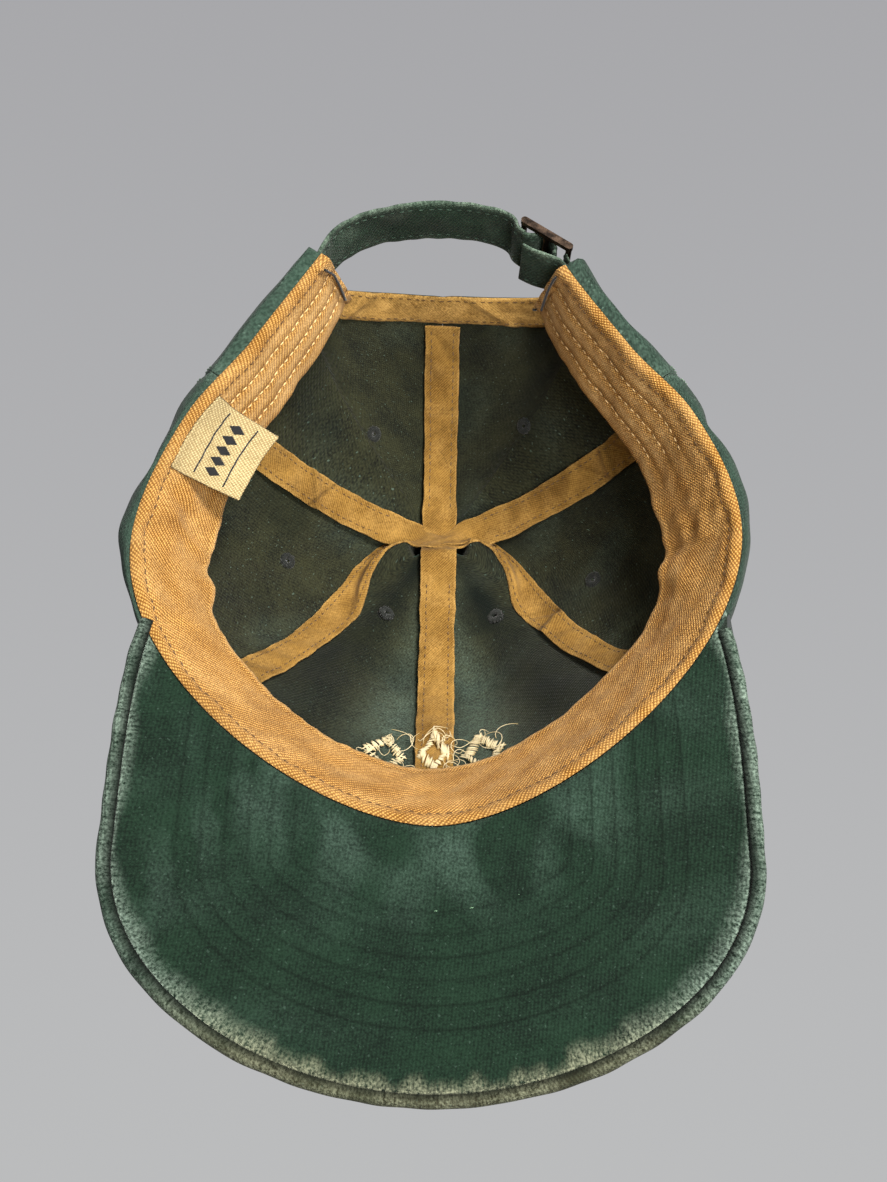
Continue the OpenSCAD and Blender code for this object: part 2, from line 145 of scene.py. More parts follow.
def rim(w):
    u = wrap(w)
    side, u = np.where(u < 0, -1.0, 1.0), np.abs(u)
    wide = vec(RIM_HALF_W, RIM_SIDE_Y - side * SLUMP)
    back = vec(CORNER_X, CORNER_Y + side * SLUMP / 3)
    front = bezier(vec(0, RIM_FRONT_Y), vec(30, RIM_FRONT_Y), wide - [0, 44], wide, u)
    flank = bezier(wide, wide + [0, 30], back + [15, -26], back, u - 1)
    strap = bezier(back, back + [-8, 13.8], vec(20, STRAP_BACK_Y), vec(0, STRAP_BACK_Y), u - 2)
    p = np.where((u <= 1)[..., None], front, np.where((u <= 2)[..., None], flank, strap))
    return p * vec(side, 1)


def rim_out(w):
    w = np.asarray(w, float)
    t = unit(rim(w + 0.04) - rim(w - 0.04))
    return vec(t[..., 1], -t[..., 0])


def rim_z(w):
    x = rim(w)[..., 0]
    return np.where(np.abs(wrap(w)) < 1, VISOR_ARCH * np.maximum(0, 1 - (x / RIM_HALF_W) ** 2), 0)


def crown(w, v):
    w, v = np.broadcast_arrays(np.asarray(w, float), np.asarray(v, float))
    u, r, out = np.abs(wrap(w)), rim(w), rim_out(w)
    bulge, reach = ease(BULGE, u), ease(REACH, u)
    foot = raised(r, rim_z(w))
    first = foot + vec(out[..., 0] * bulge, out[..., 1] * bulge, ease(RISE, u))
    second = vec(reach * r[..., 0], APEX[1] + reach * (r[..., 1] - APEX[1]), APEX[2] + ease(LIFT, u))
    return bezier(foot, first, second, APEX, v)


def crown_out(w, v):
    v = np.minimum(v, 0.96)
    n = unit(np.cross(crown(w + 0.01, v) - crown(w - 0.01, v), crown(w, v + 0.01) - crown(w, v - 0.01)))
    f = smooth((v - 0.9) / 0.1)[..., None]
    return unit(n * (1 - f) + np.array([0, 0, 1]) * f)


def pace(w, v):
    """Millimetres along the crown for each unit of w."""
    return np.linalg.norm(crown(w + 0.01, v) - crown(w - 0.01, v), axis=-1) / 0.02


def swing(v):
    """The front seams swing sideways on their way up, at last right out along the fold."""
    v = np.asarray(v, float)
    return 1 + 0.12 * smooth((v - 0.45) / 0.35) + 0.75 * smooth((v - 0.72) / 0.2)


def sag(w, v):
    """The front of the crown has sunk in. Its edge is a fold along the front seams."""
    steep = smooth((v - 0.45) / 0.33)
    inside = (SEAM_FRONT_W * swing(v) - np.abs(wrap(w))) * pace(w, v)
    too_high = 4 * np.logaddexp(0, (crown(w, v)[..., 2] - 87) / 4) + 2.5 * hump(v, 0.48, 0.15)
    deep = too_high * (1 - smooth((v - 0.908) / 0.035))
    return deep * smooth((inside + 2 * steep - 8 * (1 - steep)) / (4 + 14 * (1 - steep)))


def puff(w, v):
    """How far the soft crown stands out from its plain shape: seams draw in, panels swell."""
    u = wrap(w)
    p = crown(w, v)
    from_seam = np.full(np.shape(u), 99.0)
    for seam in (0, SEAM_FRONT_W, SEAM_BACK_W, 3):
        at = seam * (swing(v) if seam == SEAM_FRONT_W else 1)
        from_seam = np.minimum(from_seam, np.abs(np.abs(u) - at) * pace(w, v))
    lift = 0.5 * smooth(from_seam / 14) - 0.55 * hump(from_seam, 0, 1.5)
    lift = lift + 0.75 * ripple(p, 46, 3, (1, 1, 0.6)) + 0.3 * ripple(p, 17, 4)
    front = hump(u, 0, 0.6) * smooth((v - 0.2) / 0.3) * smooth((1 - v) / 0.3)
    lift = lift + 1.1 * front * ripple(p, 26, 5, (1, 0.3, 0.3))
    folds = 2.6 * hump(np.abs(u), 0.24, 0.14) - 2.2 * hump(np.abs(u), 0.5, 0.1)
    lift = lift + front * folds * hump(v, 0.42, 0.25)
    side = hump(u, -1.48, 0.16) * hump(v, 0.1, 0.14) - 0.9 * hump(u, -1.36, 0.05) * hump(v, 0.08, 0.1)
    return (lift + 2.2 * side) * smooth((1 - v) / 0.12) * smooth(v / 0.03 + 0.2)


def crown_soft(w, v, depth=0.0):
    w, v = np.broadcast_arrays(np.asarray(w, float), np.asarray(v, float))
    away = np.asarray(depth - puff(w, v), float)
    return crown(w, v) - crown_out(w, v) * away[..., None] - vec(0, 0, sag(w, v))


def visor_edge(q):
    s = np.abs(q)
    ear = (rim(EAR_W) + rim(-EAR_W) * [-1, 1]) / 2
    wide = np.array([VISOR_HALF_W, -74.0])
    p = np.where((s <= 0.5)[..., None],
                 bezier(vec(0, VISOR_FRONT_Y), vec(40, VISOR_FRONT_Y), wide - [1, 38], wide, s * 2),
                 bezier(wide, wide + [0, 26], ear + [5, -20], ear + [0.8, -1], s * 2 - 1))
    return p * vec(np.where(np.asarray(q) < 0, -1.0, 1.0), 1)


def visor_z(x):
    return 1.1 + VISOR_ARCH * (1 - (x / RIM_HALF_W) ** 2)


def band_point(w, v, depth):
    w, v, depth = np.broadcast_arrays(*[np.asarray(a, float) for a in (w, v, depth)])
    u, r, out = np.abs(w), rim(w), rim_out(w)
    inset = ease(SEAT, u) + v * ease(LEAN, u) + 1.5 * v * (1 - v) + depth
    return vec(r[..., 0] - out[..., 0] * inset, r[..., 1] - out[..., 1] * inset,
               rim_z(w) + ease(DROP, u) + v * BAND_H)


def buckle_point(x, y):
    c, s = math.cos(BUCKLE_TURN), math.sin(BUCKLE_TURN)
    return vec(BUCKLE_AT[0] + np.asarray(x) * c - np.asarray(y) * s,
               BUCKLE_AT[1] + np.asarray(x) * s + np.asarray(y) * c)


# ---------------------------------------------------------------- meshes
def make(name, node, points, faces, material, cloth=None, **values):
    """A piece that stands for a CAD node. Points are in mm."""
    mesh = bpy.data.meshes.new(name)
    mesh.from_pydata((np.asarray(points, float) * MM).tolist(), [], np.asarray(faces).tolist())
    mesh.polygons.foreach_set("use_smooth", np.ones(len(mesh.polygons), bool))
    if cloth is not None:
        flat = np.zeros((len(points), 3), np.float32)
        flat[:, : np.shape(cloth)[-1]] = cloth
        mesh.attributes.new("cloth", "FLOAT_VECTOR", "POINT").data.foreach_set("vector", flat.ravel())
    for key, value in values.items():
        numbers = np.asarray(value, np.float32).ravel()
        mesh.attributes.new(key, "FLOAT", "POINT").data.foreach_set("value", numbers)
    mesh.materials.append(material)
    mesh.update()
    piece = bpy.data.objects.new(name, mesh)
    bpy.context.scene.collection.objects.link(piece)
    piece["stands_for"] = node
    return piece


def place(piece):
    node = piece["stands_for"]
    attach(piece, BODY_OF[node])
    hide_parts(node)
    return piece


def sheet(name, node, front, back, cloth, material, holes=(), **values):
    """Closed sheet between two grids of points. Holes are (i, j) cells that are left open."""
    n, m = front.shape[:2]
    at = np.arange(n * m).reshape(n, m)
    cells = np.stack([at[:-1, :-1], at[1:, :-1], at[1:, 1:], at[:-1, 1:]], -1)
    keep = np.ones((n - 1, m - 1), bool)
    walls = []
    for i, j in holes:
        keep[i, j] = False
        walls.append(cells[i, j])
    cells = cells[keep]
    loop = np.concatenate([at[:, 0], at[-1, 1:], at[-2::-1, -1], at[0, -2:0:-1]])
    rim_faces = np.stack([np.roll(loop, -1), loop, loop + n * m, np.roll(loop, -1) + n * m], -1)
    faces = [cells, cells[:, ::-1] + n * m, rim_faces]
    for wall in walls:
        step = np.roll(wall, -1)
        faces.append(np.stack([wall, step, step + n * m, wall + n * m], -1))
    faces = np.concatenate(faces)
    i, j = n // 2, m // 2
    here = front[i, j]
    facing = np.cross(here - front[i - 1, j], here - front[i, j - 1]) @ (here - back[i, j])
    if facing < 0:
        faces = faces[:, ::-1]
    both = {}
    for key, value in values.items():
        sides = [value] * 2 if np.shape(value) == (n, m) else value
        both[key] = np.concatenate([np.ravel(side) for side in sides])
    points = np.concatenate([front.reshape(-1, 3), back.reshape(-1, 3)])
    flat = np.concatenate([cloth.reshape(-1, cloth.shape[-1])] * 2)
    return make(name, node, points, faces, material, flat, **both)


def declare(flat):
    a, b = (flat[1:, 1:] - flat[:-1, :-1]), (flat[1:, :-1] - flat[:-1, 1:])
    area = float(np.abs(a[..., 0] * b[..., 1] - a[..., 1] * b[..., 0]).sum() / 2)
    size = np.ptp(flat.reshape(-1, 2), axis=0)
    area = min(area, size[0] * size[1])


def walk(points):
    """Distance along a line of points."""
    return np.concatenate([[0], np.cumsum(np.linalg.norm(np.diff(points, axis=0), axis=1))])


def at_distance(points, distance, s):
    return np.stack([np.interp(s, distance, points[:, k]) for k in range(points.shape[1])], -1)


def even(points, step):
    """The same line with points a step apart."""
    d = walk(points)
    return at_distance(points, d, np.linspace(0, d[-1], max(4, int(d[-1] / step) + 1)))


def blur(a, times):
    for _ in range(times):
        a = np.concatenate([a[:1], (a[:-2] + 2 * a[1:-1] + a[2:]) / 4, a[-1:]])
    return a


class Threads:
    """Many stitches or loose threads, gathered into one piece."""

    def __init__(self):
        self.points, self.faces, self.along, self.count = [], [], [], 0

    def tubes(self, lines, ups, radius):
        """lines and ups are (tubes, rings, 3); radius is a number for each ring."""
        tubes, rings = lines.shape[:2]
        ahead = unit(np.gradient(lines, axis=1))
        across = unit(np.cross(ahead, ups))
        ups = np.cross(across, ahead)
        turn = np.arange(6) * math.pi / 3
        ring = across[:, :, None] * np.cos(turn)[:, None] + ups[:, :, None] * np.sin(turn)[:, None]
        p = lines[:, :, None] + ring * np.asarray(radius, float).reshape(1, -1, 1, 1)
        at = np.arange(tubes * rings * 6).reshape(tubes, rings, 6) + self.count
        near, far = at[:, :-1], at[:, 1:]
        sides = np.stack([near, np.roll(near, -1, 2), np.roll(far, -1, 2), far], -1).reshape(-1, 4)
        ends = np.concatenate([at[:, 0, ::-1].reshape(-1, 6), at[:, -1].reshape(-1, 6)])
        caps = np.concatenate([ends[:, [0, 1, 2, 3]], ends[:, [0, 3, 4, 5]]])
        self.faces.append(np.concatenate([sides, caps]))
        self.points.append(p.reshape(-1, 3))
        self.along.append(np.broadcast_to(np.linspace(0, 1, rings)[None, :, None], p.shape[:3]).ravel())
        self.count += p.size // 3

    def row(self, line, up, pitch=3.0, length=2.1, radius=0.22, sink=0.3, seed=1):
        """A row of stitches along a line, on the side that up points to."""
        rng = np.random.default_rng(seed)
        d = walk(line)
        count = int(d[-1] / pitch)
        if count < 1:
            return
        start = (np.arange(count) + 0.5) * d[-1] / count - length / 2 + rng.normal(size=count) * 0.08 * pitch
        s = start[:, None] + np.linspace(0, length, 5)
        lines, ups = at_distance(line, d, s), unit(at_distance(up, d, s))
        height = np.array([-sink, 0.4 * radius, 0.6 * radius, 0.4 * radius, -sink])
        lines = lines + ups * height[:, None]
        self.tubes(lines, ups, radius * np.array([0.6, 0.95, 1, 0.95, 0.6]))

    def piece(self, name, node, material):
        return make(name, node, np.concatenate(self.points), np.concatenate(self.faces), material,
                    along=np.concatenate(self.along))


def across_strip(columns):
    """Shares of a strip's width, -1 to 1, closer together towards its edges."""
    return np.sin(np.linspace(-math.pi / 2, math.pi / 2, columns))


def strip_grid(centres, axes, half, thickness, columns, lift=None, edge=None):
    """Front and back grids of a strip with rounded edges, its normals, and its flat coordinates."""
    ahead = unit(np.gradient(centres, axis=0))
    normal = unit(np.cross(axes, ahead))
    s = across_strip(columns)
    half = np.broadcast_to(half, len(centres)) if edge is None else half + edge
    across = centres[:, None] + axes[:, None] * (s[None, :] * np.reshape(half, (-1, 1)))[..., None]
    up = np.zeros((len(centres), columns)) if lift is None else lift
    t = thickness / 2 * np.sqrt(np.maximum(0, 1 - s**6)) + 0.02
    front = across + normal[:, None] * (up + t)[..., None]
    back = across + normal[:, None] * (up - t)[..., None]
    flat = vec(walk(centres)[:, None], s[None, :] * np.reshape(half, (-1, 1)))
    return front, back, normal, flat


def strip_row(front, share):
    """A line along a strip's front at a share of its width, -1 to 1."""
    return front[:, int(np.argmin(np.abs(across_strip(front.shape[1]) - share)))]


# ---------------------------------------------------------------- materials
class Look:
    """A material with one Principled shader. Its constants are set on the shader's sockets."""

    def __init__(self, name, **sockets):
        self.material = bpy.data.materials.new(name)
        self.material.use_nodes = True
        self.tree = self.material.node_tree
        self.shader = self.tree.nodes["Principled BSDF"]
        for socket, value in sockets.items():
            self.shader.inputs[socket.replace("_", " ")].default_value = value

    def node(self, kind, output=0, settings=None, **inputs):
        node = self.tree.nodes.new("ShaderNode" + kind)
        for key, value in (settings or {}).items():
            setattr(node, key, value)
        for key, value in inputs.items():
            numbered = key[0] == "i" and key[1:].isdigit()
            socket = node.inputs[int(key[1:]) if numbered else key.replace("_", " ")]
            if isinstance(value, bpy.types.NodeSocket):
                self.tree.links.new(value, socket)
            else:
                socket.default_value = value
        return node.outputs[output]

    def maths(self, operation, a, b=0.0, clamp=False):
        return self.node("Math", settings={"operation": operation, "use_clamp": clamp}, i0=a, i1=b)

    def weigh(self, a, share_a, b, share_b, clamp=False):
        """a x share_a + b x share_b."""
        return self.maths("ADD", self.maths("MULTIPLY", a, share_a), self.maths("MULTIPLY", b, share_b), clamp)

    def value(self, name):
        return self.node("Attribute", "Fac", {"attribute_name": name})

    def cloth(self):
        return self.node("Attribute", "Vector", {"attribute_name": "cloth"})

    def noise(self, where, scale, detail=3.0, rough=0.6):
        return self.node("TexNoise", "Fac", Vector=where, Scale=scale, Detail=detail, Roughness=rough)

    def lines(self, where, way, pitch):
        """Waves from 0 to 1 across the flat cloth, square to way."""
        k = [c * 2 * math.pi / pitch / math.hypot(*way) for c in way]
        dot = self.node("VectorMath", "Value", {"operation": "DOT_PRODUCT"}, i0=where, i1=(k[0], k[1], 0))
        return self.half(self.maths("SINE", dot))

    def half(self, wave):
        return self.maths("ADD", self.maths("MULTIPLY", wave, 0.5), 0.5)

    def span(self, value, low, high):
        """value, stretched so that low becomes 0 and high becomes 1."""
        return self.node("MapRange", i0=value, i1=low, i2=high, i3=0.0, i4=1.0)

    def mix(self, factor, a, b):
        node = self.tree.nodes.new("ShaderNodeMix")
        node.data_type = "RGBA"
        for socket, value in ((node.inputs["Factor"], factor), (node.inputs[6], a), (node.inputs[7], b)):
            if isinstance(value, bpy.types.NodeSocket):
                self.tree.links.new(value, socket)
            else:
                socket.default_value = (*value, 1) if isinstance(value, tuple) and len(value) == 3 else value
        return node.outputs[2]

    def finish(self, colour, height=None, rough=None):
        self.tree.links.new(colour, self.shader.inputs["Base Color"])
        if rough is not None:
            self.tree.links.new(rough, self.shader.inputs["Roughness"])
        if height is not None:
            bump = self.node("Bump", "Normal", Height=height, Distance=MM, Strength=1.0)
            self.tree.links.new(bump, self.shader.inputs["Normal"])
        return self.material


def linear(code):
    """A colour written as a web code, in linear light."""
    c = [int(code[i : i + 2], 16) / 255 for i in (1, 3, 5)]
    return tuple(x / 12.92 if x <= 0.04045 else ((x + 0.055) / 1.055) ** 2.4 for x in c)


def cloth_look(name, deep, base, pale, ways, pitch, weave=0.1, fuzz=0.1, mottle=0.5, sheen=0.05, speckle=0.5,
               lines=0.5, under=None, lint=0.0, edge=None):
    """Woven cloth. ways are the directions of its two sets of lines; wear fades it, shade darkens it.

    under is its colour where inside is 1, a darker, browner copy that paints the shade inside and the tan
    light bounced there; edge is the colour of the streaks that rub leaves along an edge. shade is painted
    shade where a piece sets it in folds, grooves and tucks, besides random darker blotches.
    """
    deep, base, pale = linear(deep), linear(base), linear(pale)
    look = Look(name, Roughness=0.95, Sheen_Weight=sheen, Sheen_Roughness=0.5, Specular_IOR_Level=0.12)
    where = look.cloth()
    twill = look.lines(where, ways[0], pitch)
    cross = look.lines(where, ways[1], pitch * 0.8)
    grain = look.noise(where, 1.25, 2.0)
    blotch = look.noise(where, 0.055, 4.0, 0.65)
    patch = look.noise(where, 0.3, 3.0, 0.7)
    grain = look.span(grain, 0.25, 0.75)
    thread = look.maths("MULTIPLY", twill, look.maths("ADD", look.maths("MULTIPLY", cross, 0.8), 0.2))
    tone = look.weigh(look.span(blotch, 0.3, 0.7), mottle, look.span(patch, 0.3, 0.7), 0.3 * mottle)
    tone = look.maths("ADD", tone, look.maths("MULTIPLY", look.maths("SUBTRACT", thread, 0.3), lines))
    spots = look.maths("MULTIPLY", look.maths("SUBTRACT", grain, 0.5), speckle)
    tone = look.maths("ADD", tone, spots, clamp=True)
    colour = look.mix(tone, deep, base)
    if under is not None:
        # the inner face takes the under colours: painted shade and painted bounce light from the tan band
        colour = look.mix(look.value("inside"), colour, look.mix(tone, linear(under[0]), linear(under[1])))
    flecks = look.weigh(look.span(grain, 0.3, 0.85), 0.6, look.span(patch, 0.3, 0.7), 0.4)
    worn = look.maths("MULTIPLY", look.value("wear"), look.maths("ADD", flecks, 0.15), clamp=True)
    colour = look.mix(worn, colour, pale)
    if edge is not None:
        run = look.node("CombineXYZ", 0, X=look.value("run"),
                        Y=look.maths("MULTIPLY", look.value("from_edge"), 0.2))
        colour = look.mix(look.value("brown"), colour, linear("#3a3220"))
        comb = look.span(look.noise(run, 0.9, 3.0, 0.75), 0.4, 0.62)
        comb = look.weigh(comb, 0.55, look.span(grain, 0.35, 0.75), 0.65)
        rubbed = look.maths("MULTIPLY", look.value("rub"), comb, clamp=True)
        colour = look.mix(rubbed, colour, look.mix(look.value("age"), linear(edge[0]), linear(edge[1])))
    if lint:
        spots = look.span(look.node("TexNoise", "Fac", Vector=where, Scale=0.9, Detail=1.0), 0.69, 0.74)
        colour = look.mix(look.maths("MULTIPLY", spots, lint), colour, pale)
    # shade mixes in a dark copy of the colour: painted shade in folds, grooves and tucks, plus random blotches
    colour = look.mix(look.value("shade"), colour, tuple(c * 0.35 for c in deep))
    return look.finish(colour, look.weigh(thread, weave, grain, fuzz))


# GREEN's under colours, on the crown's inside, are a darker, browner copy of the green: painted shade and
# painted bounce light from the tan band
GREEN = cloth_look("washed_twill", "#0f1b15", "#1f3429", "#5c7064", ((1, 0.8), (0.2, 1)), 0.95, weave=0.2,
                   mottle=0.8, speckle=1.0, lines=0.5, under=("#0e0e08", "#2d2d1a"), lint=0.5)
VISOR = cloth_look("visor_twill", "#07130c", "#13271a", "#50665a", ((1, 0.12), (0.15, 1)), 0.95, weave=0.16,
                   mottle=0.8, speckle=1.1, lines=0.7, lint=0.2, edge=("#7c8d80", "#80836c"))
STRAP = cloth_look("strap_twill", "#0b1810", "#1d3325", "#7f9080", ((1, 0.7), (0.2, 1)), 1.0, weave=0.22,
                   mottle=0.9, speckle=0.9, lines=0.8)
TAPE = cloth_look("cotton_tape", "#5d4118", "#9b773a", "#c29c5c", ((1, 1), (1, -1)), 0.75, weave=0.08,
                  fuzz=0.08, mottle=0.7, speckle=0.6, lines=0.8)
BAND = cloth_look("band_cotton", "#754c1a", "#d9a75b", "#e9c58a", ((1, 0.9), (0.6, -1)), 0.95, weave=0.12,
                  fuzz=0.14, mottle=0.4, speckle=0.8, lines=1.5)
LABEL = cloth_look("label_satin", "#86734d", "#c9b686", "#e0d1a6", ((1, 0.6), (0.6, -1)), 0.95, weave=0.14,
                   fuzz=0.05, mottle=0.4, speckle=0.5, lines=1.2)


def thread_look(name, colour, dark):
    look = Look(name, Roughness=0.75, Sheen_Weight=0.2, Specular_IOR_Level=0.3)
    # each stitch darkens towards its ends: painted shade where the thread sinks into its needle hole
    ends = look.maths("ABSOLUTE", look.maths("SUBTRACT", look.value("along"), 0.5))
    where = look.node("TexCoord", "Object")
    tone = look.weigh(look.span(ends, 0.2, 0.5), 0.8, look.noise(where, 900.0), 0.3, clamp=True)
    return look.finish(look.mix(tone, linear(colour), linear(dark)))


THREAD_GREEN = thread_look("thread_green", "#5a7a5e", "#040a06")
THREAD_OLIVE = thread_look("thread_olive", "#5c3f16", "#120b03")
THREAD_TAN = thread_look("thread_tan", "#e6c48a", "#a0743a")
THREAD_BLACK = thread_look("thread_black", "#15171a", "#08090a")
THREAD_CREAM = thread_look("thread_cream", "#d6c8a2", "#94804f")
THREAD_DARK = thread_look("thread_dark", "#0e130f", "#060806")
THREAD_STRAP = thread_look("thread_strap", "#2b4434", "#060c08")


def metal_look(name, dark, bright, rough):
    look = Look(name, Metallic=1.0, Roughness=rough)
    where = look.node("TexCoord", "Object")
    rub = look.span(look.noise(where, 260.0, 5.0, 0.7), 0.42, 0.62)
    fine = look.noise(where, 2500.0, 2.0)
    return look.finish(look.mix(rub, linear(dark), linear(bright)), look.maths("MULTIPLY", fine, 0.02))


BUCKLE_METAL = metal_look("antique_plating", "#2a2420", "#5c4c40", 0.42)
RIVET_METAL = metal_look("rivet_steel", "#7d7d7a", "#a8a8a4", 0.38)


def plain_look(name, colour, other, scale):
    look = Look(name, Roughness=0.7)
    where = look.node("TexCoord", "Object")
    fine = look.noise(where, scale, 4.0)
    return look.finish(look.mix(fine, linear(colour), linear(other)), look.maths("MULTIPLY", fine, 0.1))


BOARD = plain_look("visor_board", "#23282a", "#2f3432", 900.0)


# ---------------------------------------------------------------- crown
def hem(w, low):
    """The panel's turned-in edge: rows from where it is tucked in, down and out to the edge."""
    r, out, u = rim(w), rim_out(w), np.abs(wrap(w))
    tuck = np.where(u < 1, 1.4, ease(SEAT, u) + 0.6)
    rows = []
    for inset, up in ((1, 1.3), (0.75, 0.5), (0.4, 0.1), (0.12, 0.02)):
        rows.append(raised(r - out * tuck[:, None] * inset, rim_z(w) + up))
    at_rim = np.stack(rows, 1)
    foot, normal = crown_soft(w, low), crown_out(w, low)
    up = unit(crown(w, low + 0.02) - crown(w, low))
    way_in = ((1.3, 4), (1.2, 1.5), (0.9, 0.3), (0.4, -0.1))
    turned = np.stack([foot - normal * a + up * b for a, b in way_in], 1)
    return np.where((low < 0.001)[:, None, None], at_rim, turned)


def panel(node, columns, eyelet, side, rows=100):
    """A crown panel: each column is (fixed w, swinging w, lowest v)."""
    fixed, swinging, low = [np.array(c, float)[:, None] for c in zip(*columns)]
    v = low + (TOP_V - low) * np.linspace(0, 1, rows)[None, :]
    w = fixed + swinging * swing(v)
    outer, inner = crown_soft(w, v), crown_soft(w, v, PANEL_T)
    centre = crown_soft(np.array(side * eyelet[0]), np.array(eyelet[1]), PANEL_T / 2)
    middle = (outer + inner) / 2
    cell = (middle[:-1, :-1] + middle[1:, 1:]) / 2
    i, j = np.unravel_index(np.argmin(np.linalg.norm(cell - centre, axis=-1)), cell.shape[:2])
    for a, b in ((i, j), (i + 1, j), (i + 1, j + 1), (i, j + 1)):
        shift = centre + unit(middle[a, b] - centre) * 0.8 - middle[a, b]
        outer[a, b] += shift
        inner[a, b] += shift
    height = walk(middle[len(middle) // 2])[None, :]
    cloth = vec((w - w[:1].mean()) * pace(w, v).mean(0, keepdims=True), np.broadcast_to(height, w.shape))
    across = np.minimum(w - w.min(0), w.max(0) - w) * pace(w, v)
    outside = 0.3 * hump(across, 0, 3) + 0.12 * smooth(1 - v / 0.1) + 0.05
    # paler inside the front panels, over the ridge of the fold beside the centre seam, with a random ripple
    inner_paling = (0.05 + 0.5 * hump(v, 0.4, 0.25) * hump(np.abs(w), 0.2, 0.14)
                  + 0.1 * smooth(ripple(middle, 30, 91)))
    # painted shade: dark darkens a band inside each front seam for the shadow of the fold there; its ripple
    # adds random blotches
    in_front = np.abs(w) < SEAM_FRONT_W * swing(v)
    dark = (0.6 * hump(np.abs(w), 0.52, 0.16) * smooth((v - 0.15) / 0.2) * in_front
            + 0.35 * smooth(ripple(middle, 34, 92)))
    edge = hem(w[:, 0], v[:, 0])
    thin = np.where((v[:, 0] < 0.001)[:, None], np.array([0, 0, 0.5])[None, :],
                    crown_out(w[:, 0], v[:, 0]) * 0.3)
    outer = np.concatenate([edge, outer], 1)
    inner = np.concatenate([edge + thin[:, None], inner], 1)
    first = cloth[:, :1] - np.array([0, 1.0]) * np.array([4, 3, 2, 1.0])[None, :, None]
    cloth = np.concatenate([first, cloth], 1)
    rim_wear = np.repeat(outside[:, :1], 4, 1) + 0.1
    outside, inner_paling = np.concatenate([rim_wear, outside], 1), np.concatenate([rim_wear, inner_paling], 1)
    dark = np.concatenate([dark[:, :1] * [[0.0, 0, 0, 0]], dark], 1)
    deep = np.zeros_like(outside)
    inside = deep + 1
    inside[:, :4] = 0
    piece = sheet(node + "_cloth", node, outer, inner, cloth, GREEN, [(i, j + 4)], wear=(outside, inner_paling),
                  shade=(deep, dark), inside=(deep, inside))
    declare(cloth)
    return piece, (centre, crown_out(np.array(side * eyelet[0]), np.array(eyelet[1])))


shares = np.linspace(0.001, 0.999, 80)
arch_angles = np.linspace(0, math.pi / 2, 60)
EYELET_PLACES = []
for word, side in (("left", 1), ("right", -1)):
    front = [(0, side * SEAM_FRONT_W * s, 0) for s in shares]
    flank = [(side * SEAM_BACK_W * s, side * SEAM_FRONT_W * (1 - s), 0) for s in shares]
    back = [(side * (SEAM_BACK_W + 0.002 + (2 - SEAM_BACK_W) * s), 0, 0) for s in np.linspace(0, 1, 30)[:-1]]
    back += [(side * (3 - 0.001 - math.cos(a) ** ARCH_POWER), 0, ARCH_V * math.sin(a) ** ARCH_POWER)
             for a in arch_angles]
    for part, columns, eyelet in zip(("front", "side", "back"), (front, flank, back), EYELETS[side]):
        node = f"panel_{part}_{word}"
        piece, spot = panel(node, columns, eyelet, side)
        EYELET_PLACES.append(spot)
        place(piece)


def eyelet_rings():
    """Each eyelet is two rings of thread, one outside and one inside, sewn over and over."""
    threads = Threads()
    for number, (centre, out) in enumerate(EYELET_PLACES):
        rng = np.random.default_rng(number)
        a = unit(np.cross(out, [0, 0, 1.0]))
        b = np.cross(out, a)
        for face in (1, -1):
            turns = 34
            angle = np.linspace(0, 2 * math.pi, turns, endpoint=False) + rng.normal(size=turns) * 0.03
            way = a * np.cos(angle)[:, None] + b * np.sin(angle)[:, None]
            reach = np.array([0.85, 1.3, 2.0, 2.6, 2.95])[None, :, None]
            reach = reach + rng.normal(size=(turns, 1, 1)) * 0.1
            high = np.array([0.0, 0.55, 0.7, 0.5, -0.1])[None, :, None] + PANEL_T / 2
            lines = centre + way[:, None] * reach + out * face * high
            ups = np.broadcast_to(out * face, lines.shape)
            threads.tubes(lines, ups, [0.2, 0.24, 0.25, 0.24, 0.18])
    return place(threads.piece("eyelet_threads", "eyelets", THREAD_DARK))


eyelet_rings()


def arm(fixed, swinging, low, depth, top):
    """Centres and cross directions of a tape along a seam, from its foot up."""
    v = np.linspace(low, top, 220)
    w = fixed + swinging * swing(v)
    w = w + np.sign(swinging) * 2.2 * smooth((v - 0.6) / 0.2) / np.maximum(pace(w, v), 8)
    centres = blur(crown_soft(w, v, depth + 1.6 * v**6), 160)
    half = 2.2 / np.maximum(pace(w, v), 8)
    axes = unit(blur(unit(crown_soft(w + half, v, depth) - crown_soft(w - half, v, depth)), 700))
    d = walk(centres)
    s = np.linspace(0, d[-1], int(d[-1] / 0.8))
    return at_distance(centres, d, s), unit(at_distance(axes, d, s))


def crown_heights():
    """A finder for the height of the crown cloth's inner face near the apex."""
    w, v = np.meshgrid(np.linspace(-1.7, 1.7, 480), np.linspace(0.5, 0.96, 170), indexing="ij")
    face = crown_soft(w, v, PANEL_T).reshape(-1, 3)
    tree = KDTree(len(face))
    for i, (x, y, _) in enumerate(face):
        tree.insert((x, y, 0), i)
    tree.balance()
    return face, tree


CROWN_FACE, CROWN_TREE = crown_heights()


def tuck_under(front, back):
    """Press a tape down until it lies under the crown cloth everywhere near the apex."""
    drop = np.zeros(back.shape[:2])
    for i, j in np.argwhere(back[..., 2] > 76):
        x, y, z = back[i, j]
        drop[i, j] = max(0, z + 0.4 - CROWN_FACE[CROWN_TREE.find((x, y, 0))[1], 2])
    drop = np.maximum(drop, blur(blur(drop, 8).T, 2).T)
    return front - drop[..., None] * vec(0, 0, 1), back - drop[..., None] * vec(0, 0, 1)


